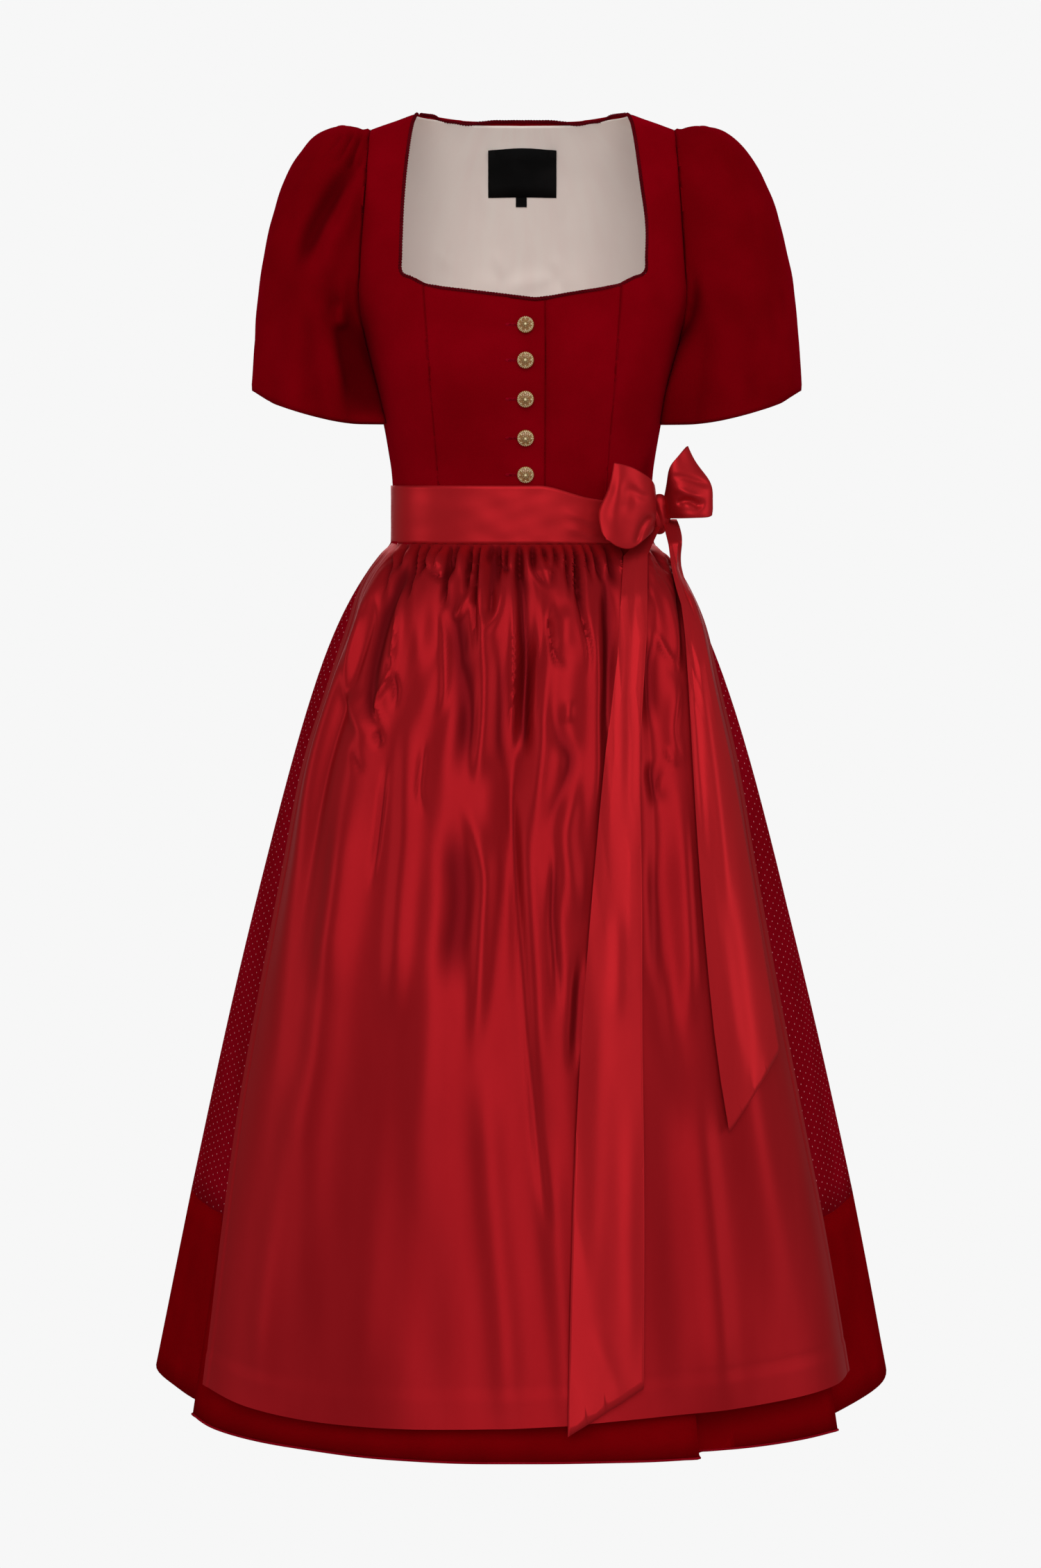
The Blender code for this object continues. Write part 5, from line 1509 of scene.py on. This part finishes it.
        # Cloth that would meet other cloth stops short of it, ever more softly
        height = np.where(height < 0.0, -inside * np.tanh(-height / inside),
                          outside * np.tanh(height / outside))
        places = flat + ways * height[:, None]
        shape = bmesh.new()
        bmesh.ops.create_grid(shape, x_segments=self.columns - 1, y_segments=self.rows - 1, size=1.0)
        for vertex in shape.verts:
            column = round((vertex.co.x + 1.0) * 0.5 * (self.columns - 1))
            row = round((1.0 - vertex.co.y) * 0.5 * (self.rows - 1))
            vertex.index = row * self.columns + column
        order = np.array([vertex.index for vertex in shape.verts])
        piece = finish_bmesh("satin_apron", shape)
        set_places(piece, places[order])
        set_uv(piece, across.ravel()[order], -down.ravel()[order])
        set_fold_shade(piece, folds[order])
        turned = piece.modifiers.new("wall", "SOLIDIFY")
        turned.thickness = self.wall
        turned.offset = -1.0
        turned.use_even_offset = False
        baked(piece)
        self.dress(piece, Slot.APRON_SATIN, self.node)
        Cut(0.780, 0.800, Hold.GATHERED).declare(piece, "satin_waistband")


def tube_along(name: str, points: Array, radius: float, sides: int) -> Piece:
    """Builds a round cord along a line of places.

    Args:
        name: the piece's name.
        points: rows of x, y and z along the cord's middle.
        radius: the cord's radius in metres.
        sides: how many faces go round it, an even number from 4.

    Returns:
        The cord as a closed mesh.
    """
    curve = bpy.data.curves.new(name + "_path", "CURVE")
    curve.dimensions = "3D"
    curve.bevel_depth = radius
    curve.bevel_resolution = sides // 2 - 2
    curve.use_fill_caps = True
    path = curve.splines.new("POLY")
    path.points.add(len(points) - 1)
    path.points.foreach_set("co", np.hstack([points, np.ones((len(points), 1))]).ravel())
    cord = bpy.data.objects.new(name, curve)
    bpy.context.scene.collection.objects.link(cord)
    mesh = bpy.data.meshes.new_from_object(cord.evaluated_get(bpy.context.evaluated_depsgraph_get()))
    bpy.data.objects.remove(cord)
    shape = bmesh.new()
    shape.from_mesh(mesh)
    bmesh.ops.recalc_face_normals(shape, faces=shape.faces)
    return finish_bmesh(name, shape)


def evenly(points: Array, step: float) -> Array:
    """Returns a smooth run that passes the places, with even steps of a length.

    Args:
        points: rows of x, y and z.
        step: the length in metres.

    Returns:
        The even rows.
    """
    reach = np.concatenate([[0.0], np.cumsum(np.linalg.norm(np.diff(points, axis=0), axis=1))])
    return spline(reach, points, np.linspace(0.0, reach[-1], max(int(reach[-1] / step), 2)))


@dataclass
class Sash(Section):
    """The apron's smooth band, and the sash that carries it on round the back."""

    levels: int = 3
    wrap_radius: float = 0.115
    crown: float = 0.0007
    band_top: float = -0.3587
    dip: float = 0.011
    dip_start: Span = (0.015, 0.068)
    dip_end: Span = (0.080, 0.118)
    band_middle: float = -0.3865
    band_half: float = 0.026
    back_share: float = 0.2
    creases: tuple[Crease, ...] = (
        Crease(((34, 378), (63, 386), (90, 398)), 5.0, 1.5, fade=0.4),
        Crease(((36, 394), (60, 402), (84, 411)), 5.0, 1.3, fade=0.4),
        Crease(((60, 374), (80, 380), (96, 388)), 3.0, 1.2, fade=0.4),
        Crease(((-104, 372), (-80, 377), (-40, 378)), 7.0, 0.6),
    )

    def build(self) -> None:
        """Builds the band and the sash at the back."""
        for node, width in (("waistband", 0.345), ("sash_back", 0.380)):
            piece = fine_shell(node, "satin_" + node, self.levels)
            places = vertex_places(piece)
            front = ease(0.0, -0.03, places[:, 1])
            relief = relief_of(self.creases, places[:, 0], -places[:, 2]) * front
            behind = relief_of(self.creases, -places[:, 0], -places[:, 2])
            relief += behind * (1.0 - front) * self.back_share
            relief += self.crown * (bell(places[:, 2] - self.band_middle, self.band_half) - 0.5)
            relief += SoftNoise(0.0004, 0.07, 0.5, seed=61).at(places[:, 0] + places[:, 1], places[:, 2])
            relief *= ease(0.0, 0.010, rim_distance(piece))
            moved = places + outward(places) * relief[:, None]
            if node == "waistband":
                share = (places[:, 2] - BAND_BOTTOM) / (self.band_top - BAND_BOTTOM)
                x = places[:, 0]
                moved[:, 2] -= self.dip * share * ease(*self.dip_start, x) * (1.0 - ease(*self.dip_end, x))
            set_places(piece, moved)
            wrap_uv(piece, self.wrap_radius, 1.0 if node == "waistband" else -1.0)
            self.dress(piece, Slot.SASH_SATIN, node)
            Cut(width, 0.056, Hold.STRETCHED).declare(piece, "velvet_back", "cloth_skirt_front")


@dataclass
class Bow(Section):
    """The bow: a knot, two loops with hollow folds and two long ends."""

    levels: int = 3
    facing: Point3 = (0.349, -0.937, 0.0)
    layer: Span = (0.0016, 0.0050)
    most_layers: int = 6
    past: float = 0.0001
    reach: float = 0.1
    straight: float = 0.020
    rim_strip: float = 0.006
    knot_front: Span = (-0.002, 0.003)
    knot_growth: Point3 = (1.45, 1.10, 1.25)
    knot_shift: Point3 = (0.0015, 0.0, -0.0045)
    pushes: tuple[tuple[str, Push], ...] = (
        ("bow_loop_right", Push((79, 384), (18, 18), (-7, 0))),
        ("bow_loop_right", Push((102, 408), (16, 16), (0, 9))),
        ("bow_loop_right", Push((101, 350), (9, 9), (0, -2))),
        ("bow_loop_right", Push((75, 415), (8, 8), (4, -4))),
        ("bow_loop_right", Push((124, 384), (8, 20), (2, 0))),
        ("bow_loop_left", Push((174, 358), (16, 20), (8, -1))),
        ("bow_loop_left", Push((149, 346), (10, 13), (-4, -2))),
        ("bow_loop_left", Push((190, 391), (8, 8), (-4, -3))),
        ("bow_loop_left", Push((140, 380), (7, 20), (-3, 0))),
        ("bow_tail_side", Push((154, 400), (12, 18), (14, 0))),
        ("bow_tail_side", Push((162, 448), (16, 20), (-3, 0))),
        ("bow_tail_side", Push((146, 396), (16, 8), (0, -5))),
        ("bow_tail_front", Push((128, 398), (8, 8), (2, -3))),
    )
    right_loop_creases: tuple[Crease, ...] = (
        Crease(((88, 346), (90, 372), (88, 404)), 6.0, 1.6, fade=0.3),
        Crease(((99, 352), (101, 370), (100, 389)), 5.0, -1.2),
        Crease(((122, 386), (113, 396), (108, 408)), 3.0, -3.4, fade=0.2),
        Crease(((123, 372), (109, 366), (100, 358)), 4.0, -1.2),
        Crease(((116, 404), (111, 414)), 2.0, 2.0),
    )
    left_loop_creases: tuple[Crease, ...] = (
        Crease(((140, 354), (154, 352), (166, 357), (176, 362)), 3.0, -1.6),
        Crease(((138, 367), (147, 363), (157, 367), (170, 375)), 3.2, 2.6),
        Crease(((147, 377), (157, 373), (166, 377), (170, 382)), 3.4, -4.5, fade=0.2),
        Crease(((140, 384), (160, 388), (180, 386)), 3.5, 1.5),
    )
    knot_creases: tuple[Crease, ...] = (
        Crease(((126, 371), (130, 382), (132, 392), (130, 399)), 1.6, -1.5, fade=0.15),
        Crease(((135, 373), (136, 389), (134, 397)), 1.5, -1.3, fade=0.15),
        Crease(((125, 388), (126, 391)), 1.6, -1.2),
    )
    front_tail_creases: tuple[Crease, ...] = (
        Crease(((112, 425), (106, 470), (101, 560), (98, 700)), 7.0, -1.6),
        Crease(((86, 739), (87, 790), (85, 854)), 7.0, 1.3),
        Crease(((62, 1110), (80, 1160), (101, 1215)), 8.0, 1.3),
        Crease(((70, 800), (66, 950), (62, 1100)), 9.0, -1.2),
        Crease(((100, 900), (98, 1040), (99, 1160)), 8.0, 1.2),
    )
    side_tail_creases: tuple[Crease, ...] = (
        Crease(((147, 430), (158, 500), (164, 600), (172, 720)), 4.0, -1.8),
        Crease(((160, 470), (172, 560), (184, 660), (196, 800)), 6.0, 1.4),
        Crease(((185, 700), (200, 820), (214, 920)), 7.0, -1.3),
    )

    def layers_ahead(self, piece: Piece, places: Array) -> Array:
        """Returns how far in front of each vertex the piece's foremost cloth lies.

        Args:
            piece: the piece.
            places: its vertices' places.

        Returns:
            The distances in metres, 0 for the foremost cloth.
        """
        cloth = surface_of([piece.data])
        way = Vector(self.facing)
        ahead = np.zeros(len(places))
        for index, place in enumerate(places):
            passed = 0.0
            for _ in range(self.most_layers):
                hit = cloth.ray_cast(Vector(place) + way * (passed + self.past), way, self.reach)[3]
                if hit is None:
                    break
                passed += hit + self.past
            ahead[index] = passed
        return ahead

    def build_part(self, node: str, name: str, creases: tuple[Crease, ...],
                   cut: Cut, rough: float) -> None:
        """Builds one part of the bow, with its creases on its foremost cloth.

        Args:
            node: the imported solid.
            name: the new piece's name.
            creases: lines in the front view, in millimetres from the centre and down from the shoulders.
            cut: its flat cut.
            rough: the depth of its small unevenness in metres.
        """
        piece = fine_shell(node, name, self.levels, straight=self.straight if "tail" in node else 0.0)
        places = vertex_places(piece)
        foremost = 1.0 - ease(*self.layer, self.layers_ahead(piece, places))
        relief = relief_of(creases, places[:, 0], -places[:, 2]) * foremost
        relief += SoftNoise(rough, 0.060, 5.0, seed=len(node)).at(places[:, 0], places[:, 2]) * foremost
        relief *= 0.4 + 0.6 * ease(0.0, self.rim_strip, rim_distance(piece))
        moved = places + np.array(self.facing) * relief[:, None]
        for part, push in self.pushes:
            if part == node:
                push.apply(moved)
        set_places(piece, moved)
        front_uv(piece)
        self.dress(piece, Slot.SASH_SATIN, node)
        cut.declare(piece, "satin_knot")

    def build(self) -> None:
        """Builds the whole bow."""
        self.build_knot()
        self.build_part("bow_loop_right", "satin_loop_right", self.right_loop_creases,
                        Cut(0.165, 0.066, Hold.FOLDED), 0.0006)
        self.build_part("bow_loop_left", "satin_loop_left", self.left_loop_creases,
                        Cut(0.105, 0.058, Hold.FOLDED), 0.0006)
        self.build_part("bow_tail_front", "satin_tail_front", self.front_tail_creases,
                        Cut(0.062, 0.840, Hold.HUNG, 0.0430), 0.0003)
        self.build_part("bow_tail_side", "satin_tail_side", self.side_tail_creases,
                        Cut(0.062, 0.600, Hold.HUNG, 0.0310), 0.0003)

    def build_knot(self) -> None:
        """Builds the knot, a short wrap of cloth drawn into strands."""
        piece = fine_shell("bow_knot", "satin_knot", self.levels)
        places = vertex_places(piece)
        middle = places.mean(axis=0)
        front = ease(*self.knot_front, (places - middle) @ np.array(self.facing))
        relief = relief_of(self.knot_creases, places[:, 0], -places[:, 2]) * front
        grown = middle + (places - middle) * np.array(self.knot_growth) + np.array(self.knot_shift)
        set_places(piece, grown + np.array(self.facing) * relief[:, None])
        front_uv(piece)
        self.dress(piece, Slot.SASH_SATIN, "bow_knot")


@dataclass
class Neckline(Section):
    """The braided cord round the neck, as two strands twisted together, and the bare label below it."""

    strand: float = 0.00105
    turn_radius: float = 0.00085
    lay: float = 0.0056
    step: float = 0.0007
    sides: int = 6
    closing: float = 0.0006
    evening: int = 7
    thinning: int = 6
    lap: float = 0.0045
    lap_run: int = 9
    ring_reach: float = 0.0034
    solid_sides: int = 6
    flatness: float = 0.02
    label_share: float = 0.84
    label_height: float = 0.054
    label_inset: float = 0.98

    def middle_line(self, node: str) -> Array:
        """Returns places along the middle of a packed cord, from one end to the other.

        Args:
            node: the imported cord.

        Returns:
            Rows of x, y and z.
        """
        flat = merged_copy(node)
        bmesh.ops.dissolve_limit(flat, angle_limit=self.flatness, verts=flat.verts, edges=flat.edges)
        ends = [face for face in flat.faces if len(face.verts) == self.solid_sides and max(
            (a.co - b.co).length for a in face.verts for b in face.verts) < self.ring_reach]
        end = [vertex.co.copy() for vertex in ends[0].verts]
        flat.free()
        shape = merged_copy(node)
        ring = {vertex for vertex in shape.verts if any((vertex.co - place).length < MERGE for place in end)}
        passed, middles = set(ring), []
        while ring:
            middles.append(np.mean([vertex.co[:] for vertex in ring], axis=0))
            ring = {edge.other_vert(vertex) for vertex in ring for edge in vertex.link_edges} - passed
            passed |= ring
        shape.free()
        return np.array(middles)

    def beside(self, velvet: BVHTree, line: Array) -> Array:
        """Returns a line laid close along the velvet's edge and evened out, with its front end over the lap.

        Args:
            velvet: the velvet's surface.
            line: rows of x, y and z.

        Returns:
            The new rows.
        """
        edge = np.array([velvet.find_nearest(Vector(place))[0][:] for place in line])
        away = line - edge
        near = edge + away / np.linalg.norm(away, axis=1, keepdims=True) * self.closing
        padded = np.vstack([near[:1]] * self.evening + [near] + [near[-1:]] * self.evening)
        share = np.hanning(2 * self.evening + 3)[1:-1]
        even = np.stack([np.convolve(run, share / share.sum(), "valid") for run in padded.T], axis=1)
        if abs(even[0, 0]) < abs(even[-1, 0]):
            even = even[::-1]
        if even[-1, 1] >= 0.0:
            return even[::self.thinning]
        run = even[-1] - even[-self.lap_run]
        lap = even[-1] + run / np.linalg.norm(run) * self.lap * np.array((0.25, 0.50, 0.75, 1.0))[:, None]
        return np.vstack([even[::self.thinning], lap])

    def twisted(self, line: Array, start: float) -> Array:
        """Returns one strand's places as it winds round a line, from a starting turn in radians.

        Args:
            line: the middle of the cord.
            start: the starting turn.

        Returns:
            Rows of x, y and z.
        """
        points = evenly(line, self.step)
        along = np.gradient(points, axis=0)
        along /= np.linalg.norm(along, axis=1, keepdims=True)
        normal = np.cross(along[0], (0.3, 0.9, 0.1))
        wound = np.empty(points.shape)
        for index, (point, way) in enumerate(zip(points, along)):
            normal = normal - way * (normal @ way)
            normal /= np.linalg.norm(normal)
            turn = start + 2.0 * math.pi * index * self.step / self.lay
            wound[index] = point + self.turn_radius * (
                math.cos(turn) * normal + math.sin(turn) * np.cross(way, normal))
        return wound

    def build(self) -> None:
        """Builds the cord, and dresses the label and its tab."""
        velvet = surface_of(bpy.data.objects[velvet_named(node)].data for node, _ in Bodice.cuts)
        for word in ("left", "right", "back"):
            line = self.beside(velvet, evenly(self.middle_line("neck_piping_" + word), self.step))
            for name, start in (("cord_a_", 0.0), ("cord_b_", math.pi)):
                strand = tube_along(name + word, self.twisted(line, start), self.strand, self.sides)
                self.dress(strand, Slot.PIPING, "neck_piping_" + word)
        self.build_label()
        frame["nodes"]["size_tab"].material_slots[0].material = self.finishes[Slot.LABEL_CLOTH]

    def build_label(self) -> None:
        """Builds the bare label, with its upper edge lower on the lining than the solid's."""
        piece = fine_shell("neck_label", "bare_label", 1, straight=0.01)
        places = vertex_places(piece)
        shape = merged_copy("neck_label")
        solid = BVHTree.FromBMesh(shape)
        shape.free()
        bottom = places[:, 2].min()
        moved = places.copy()
        moved[:, 2] = bottom + (places[:, 2] - bottom) * self.label_share
        level = []
        for rows in (places, moved):
            heights = np.minimum(np.maximum(rows[:, 2], bottom + MM), bottom + self.label_height)
            hits = [solid.ray_cast(Vector((self.label_inset * x, -1.0, height)), Vector((0.0, 1.0, 0.0)))[0]
                    for x, height in zip(rows[:, 0], heights)]
            level.append(np.array([hit.y if hit else math.nan for hit in hits]))
        moved[:, 1] += np.nan_to_num(level[1] - level[0])
        set_places(piece, moved)
        self.dress(piece, Slot.LABEL_CLOTH, "neck_label")
        Cut(0.068, 0.051, Hold.STRETCHED).declare(piece, "satin_lining")


@dataclass
class Buttons(Section):
    """The five gold filigree buttons, and the stitched buttonholes beside them.

    The dome rises from its edge by a power of the share of the radius, and the foot runs from the edge back to
    the middle as pairs of shares of the radius and of the height.
    """

    radius: float = 0.0080
    height: float = 0.0052
    rings: int = 26
    turns: int = 96
    dome_end: float = 0.98
    dome_rise: Point = (0.28, 0.60)
    dome_power: float = 2.2
    edge_rise: float = 0.22
    foot: tuple[Point, ...] = ((0.99, 0.10), (0.90, 0.0), (0.0, 0.0))
    petals: int = 8
    beads: int = 26
    relief_depth: float = 0.0013
    relief_edge: Point = (1.02, 12.0)
    hole_length: float = 0.0130
    hole_width: float = 0.0026
    hole_rise: float = 0.0008
    hole_lift: float = 0.0002
    hole_wall: float = 0.0004
    hole_x: float = -0.0095
    hole_taper: Point = (0.42, 0.08)
    stitches: float = 160.0
    count: int = 5

    def relief(self, share: Array, angle: Array) -> Array:
        """Returns the filigree's height: a beaded rim, a rope, petals with grains between them and a middle.

        Args:
            share: the distance from the middle, as a share of the radius.
            angle: the angle round the middle in radians.

        Returns:
            The height, from 0 to 1.
        """
        rim = bell(share - 0.90, 0.075) * (0.55 + 0.45 * np.cos(self.beads * angle))
        ropes = bell(share - 0.79, 0.030) * (0.6 + 0.4 * np.cos(44.0 * angle + 60.0 * share))
        wave = 0.52 + 0.20 * np.cos(self.petals * angle)
        petals = bell(share - wave, 0.040) * (0.65 + 0.35 * np.cos(90.0 * share + 20.0 * angle))
        inner = bell(share - 0.5 * wave, 0.035) * 0.8
        between = np.mod(angle * self.petals / math.tau + 0.5, 1.0) - 0.5
        grains = bell(share - 0.66, 0.05) * bell(between, 0.16)
        middle = bell(share, 0.15)
        return np.clip(rim + ropes + petals + inner + grains + 1.2 * middle, 0.0, 1.0)

    def seat(self, node: str) -> tuple[Vector, Vector]:
        """Returns where a packed button sits on the cloth, and which way it faces.

        Args:
            node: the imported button.

        Returns:
            The middle of its foot, and the way out from the cloth.
        """
        shape = merged_copy(node)
        places = np.array([vertex.co[:] for vertex in shape.verts])
        shape.free()
        middle = places.mean(axis=0)
        spread = np.linalg.svd(places - middle)[2][2]
        out = Vector(spread if spread[1] < 0.0 else -spread)
        low = min((Vector(place) - Vector(middle)).dot(out) for place in places)
        return Vector(middle) + out * low, out

    def dome(self) -> bmesh.types.BMesh:
        """Returns a plain button that faces up, with its foot at height 0."""
        dome = bmesh.new()
        edge, crown = self.dome_rise
        profile = []
        for index in range(self.rings + 1):
            share = index / self.rings
            rise = self.edge_rise
            if share < self.dome_end:
                rise = edge + crown * (1.0 - (share / self.dome_end) ** self.dome_power)
            profile.append((share, rise))
        profile = [dome.verts.new((self.radius * share, 0.0, self.height * rise))
                   for share, rise in profile + list(self.foot)]
        edges = [dome.edges.new(pair) for pair in zip(profile, profile[1:])]
        bmesh.ops.spin(dome, geom=profile + edges, cent=(0.0, 0.0, 0.0), axis=(0.0, 0.0, 1.0), angle=math.tau,
                       steps=self.turns, use_merge=True)
        bmesh.ops.remove_doubles(dome, verts=dome.verts, dist=MERGE)
        bmesh.ops.recalc_face_normals(dome, faces=dome.faces)
        return dome

    def build_button(self, number: int) -> None:
        """Builds one button on its solid's seat.

        Args:
            number: 1 to 5, from the neck down.
        """
        node = f"button_{number}"
        seat, out = self.seat(node)
        dome = self.dome()
        # How raised each place of the filigree is, which the gold reads to paint shade into its hollows.
        raised = dome.verts.layers.float.new("raised")
        edge, steepness = self.relief_edge
        for vertex in dome.verts:
            if vertex.co.z > 0.2 * self.height:
                share = math.hypot(vertex.co.x, vertex.co.y) / self.radius
                level = float(self.relief(np.array(share), np.array(math.atan2(vertex.co.y, vertex.co.x))))
                vertex[raised] = level
                vertex.co.z += self.relief_depth * level * min(1.0, (edge - share) * steepness)
        turn = out.to_track_quat("Z", "Y").to_matrix()
        bmesh.ops.rotate(dome, verts=dome.verts, cent=(0.0, 0.0, 0.0), matrix=turn)
        bmesh.ops.translate(dome, verts=dome.verts, vec=seat)
        self.dress(finish_bmesh(f"gold_button_{number}", dome), Slot.GOLD, node)

    def build_hole(self, number: int, cloth: BVHTree, height: float) -> None:
        """Builds one buttonhole's stitched bar on the velvet, with tapered ends.

        Args:
            number: 1 to 5, from the neck down.
            cloth: the velvet's surface.
            height: the height of its button's middle in metres.
        """
        bar = bmesh.new()
        bmesh.ops.create_grid(bar, x_segments=52, y_segments=8, size=0.5)
        start, run = self.hole_taper
        for vertex in bar.verts:
            across, down = vertex.co.x, vertex.co.y
            end = 1.0 - 0.5 * max(0.0, abs(across) - start) / run
            x = self.hole_x + across * self.hole_length
            z = height + down * self.hole_width * end
            hit = cloth.ray_cast(Vector((x, -1.0, z)), Vector((0.0, 1.0, 0.0)))[0]
            round_bar = math.sqrt(max(0.0, 1.0 - (2.0 * down) ** 2))
            crown = round_bar * (0.75 + 0.25 * math.cos(across * self.stitches))
            vertex.co = (x, hit.y - self.hole_rise * crown + self.hole_lift, z)
        bmesh.ops.recalc_face_normals(bar, faces=bar.faces)
        piece = finish_bmesh(f"buttonhole_{number}", bar)
        turned = piece.modifiers.new("wall", "SOLIDIFY")
        turned.thickness, turned.offset = self.hole_wall, 0.0
        self.dress(baked(piece), Slot.THREAD)

    def build(self) -> None:
        """Builds the buttons and buttonholes."""
        cloth = surface_of([bpy.data.objects["velvet_front_right"].data])
        for number in range(1, self.count + 1):
            low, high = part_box(f"button_{number}")
            self.build_button(number)
            self.build_hole(number, cloth, 0.5 * (low[2] + high[2]))


@dataclass
class HemBraid(Section):
    """The thin cord along the skirt's hem, one length for each panel."""

    radius: float = 0.0011
    sides: int = 6
    band_top: float = -1.058
    upright: float = 0.75
    clear: float = 0.4
    step: float = 0.005

    def lower_edge(self, piece: Piece) -> Array:
        """Returns places along the outer lower edge of a hem band, from one side to the other.

        Args:
            piece: the hem band.

        Returns:
            Rows of x, y and z.
        """
        shape = bmesh.new()
        shape.from_mesh(piece.data)
        links: dict[bmesh.types.BMVert, list[bmesh.types.BMVert]] = {}
        for edge in rim_edges(shape):
            flat = abs((edge.verts[0].co - edge.verts[1].co).normalized().z) < self.upright
            if flat and max(vertex.co.z for vertex in edge.verts) < self.band_top:
                for vertex in edge.verts:
                    links.setdefault(vertex, []).append(edge.other_vert(vertex))
        runs = []
        # A dict keeps the mesh's own order, so that each run of the script starts at the same places
        free = dict.fromkeys(links)
        while free:
            ends = [vertex for vertex in free if len(links[vertex]) == 1]
            run = [ends[0] if ends else next(iter(free))]
            del free[run[0]]
            while following := [vertex for vertex in links[run[-1]] if vertex in free]:
                run.append(following[0])
                del free[following[0]]
            runs.append(np.array([vertex.co[:] for vertex in run]))
        shape.free()
        runs = sorted(runs, key=len)[-2:]
        return max(runs, key=lambda run: np.hypot(run[:, 0], run[:, 1]).mean())

    def build(self) -> None:
        """Builds the cord of each hem band on its outer lower edge."""
        for word in ("front", "side_left", "side_right", "back_left", "back_right"):
            line = self.lower_edge(bpy.data.objects["cloth_hem_band_" + word])
            line = evenly(line + outward(line) * self.clear * self.radius, self.step)
            self.dress(tube_along("hem_braid_" + word, line, self.radius, self.sides), Slot.BRAID)


@dataclass
class Studio:
    """The plain pale floor and backdrop, the soft lights and the camera."""

    camera_place: Point3 = (-0.0018, -3.35, -0.358)
    camera_pitch: float = 85.0
    lens: float = 78.47
    sensor: float = 36.0
    farthest: float = 100.0
    aim: Point3 = (0.0, 0.0, -0.6)
    floor_height: float = -1.46
    floor_radius: float = 13.0
    dome_radius: float = 14.0
    paper: float = 0.93
    world: float = 0.32
    lights: tuple[tuple[str, Point3, Point, float], ...] = (
        ("front_light", (0.0, -6.8, 0.8), (4.6, 2.6), 76.0),
        ("high_front_light", (0.0, -5.4, 4.2), (6.0, 4.0), 145.0),
        ("back_light", (0.0, 6.8, 0.8), (4.6, 2.6), 76.0),
        ("high_back_light", (0.0, 5.4, 4.2), (6.0, 4.0), 145.0),
        ("left_light", (6.6, -1.5, 0.8), (3.0, 3.0), 60.0),
        ("right_light", (-6.6, -1.5, 0.8), (3.0, 3.0), 45.0),
    )

    def glow(self, name: str, strength: float) -> bpy.types.Material:
        """Returns an evenly lit paper white.

        Args:
            name: the material's name.
            strength: how bright it is.

        Returns:
            The material.
        """
        material = bpy.data.materials.new(name)
        material.use_nodes = True
        surface = material.node_tree.nodes["Principled BSDF"]
        surface.inputs["Base Color"].default_value = (0.0, 0.0, 0.0, 1.0)
        surface.inputs["Roughness"].default_value = 0.9
        surface.inputs["Specular IOR Level"].default_value = 0.0
        surface.inputs["Emission Color"].default_value = (1.0, 1.0, 1.0, 1.0)
        surface.inputs["Emission Strength"].default_value = strength
        return material

    def build_paper(self) -> None:
        """Builds the floor and the backdrop behind it."""
        floor = bmesh.new()
        bmesh.ops.create_circle(floor, cap_ends=True, segments=96, radius=self.floor_radius)
        bmesh.ops.translate(floor, verts=floor.verts, vec=(0.0, 0.0, self.floor_height))
        dome = bmesh.new()
        bmesh.ops.create_uvsphere(dome, u_segments=64, v_segments=32, radius=self.dome_radius)
        bmesh.ops.reverse_faces(dome, faces=dome.faces)
        white = self.glow("paper", self.paper)
        for name, shape in (("floor", floor), ("backdrop", dome)):
            paper = finish_bmesh(name, shape)
            paper.data.materials.append(white)
            paper.visible_diffuse = paper.visible_glossy = False
            paper.visible_transmission = paper.visible_shadow = False

    def add_light(self, name: str, place: Point3, size: Point, power: float) -> None:
        """Adds a large soft light that faces the middle of the dress.

        Args:
            name: the light's name.
            place: where it stands.
            size: its width and height in metres.
            power: its power in watts.
        """
        data = bpy.data.lights.new(name, "AREA")
        data.shape = "RECTANGLE"
        data.size, data.size_y = size
        data.energy = power
        light = bpy.data.objects.new(name, data)
        light.location = place
        light.rotation_euler = (Vector(self.aim) - light.location).to_track_quat("-Z", "Y").to_euler()
        light.visible_camera = False
        bpy.context.scene.collection.objects.link(light)

    def build(self) -> None:
        """Builds the stage, the lights and the camera."""
        self.build_paper()
        for name, place, size, power in self.lights:
            self.add_light(name, place, size, power)
        world = bpy.data.worlds.new("soft_room")
        world.use_nodes = True
        background = world.node_tree.nodes["Background"]
        background.inputs["Color"].default_value = (1.0, 1.0, 1.0, 1.0)
        background.inputs["Strength"].default_value = self.world
        scene = bpy.context.scene
        scene.world = world
        scene.view_settings.view_transform = "Standard"
        data = bpy.data.cameras.new("camera")
        data.sensor_width, data.lens = self.sensor, self.lens
        data.clip_end = self.farthest
        camera = bpy.data.objects.new("camera", data)
        camera.location = self.camera_place
        camera.rotation_euler = (math.radians(self.camera_pitch), 0.0, 0.0)
        scene.collection.objects.link(camera)
        scene.camera = camera


def main() -> None:
    """Builds the whole dirndl and its studio."""
    logging.basicConfig(level=logging.INFO, format="%(message)s")
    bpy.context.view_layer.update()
    finishes = make_finishes()
    for section in (Bodice, Sleeves, Skirt, Apron, Sash, Bow, Neckline, Buttons, HemBraid):
        section(finishes).build()
        LOG.info("built %s", section.__name__)
    Studio().build()


if __name__ == "__main__":
    main()
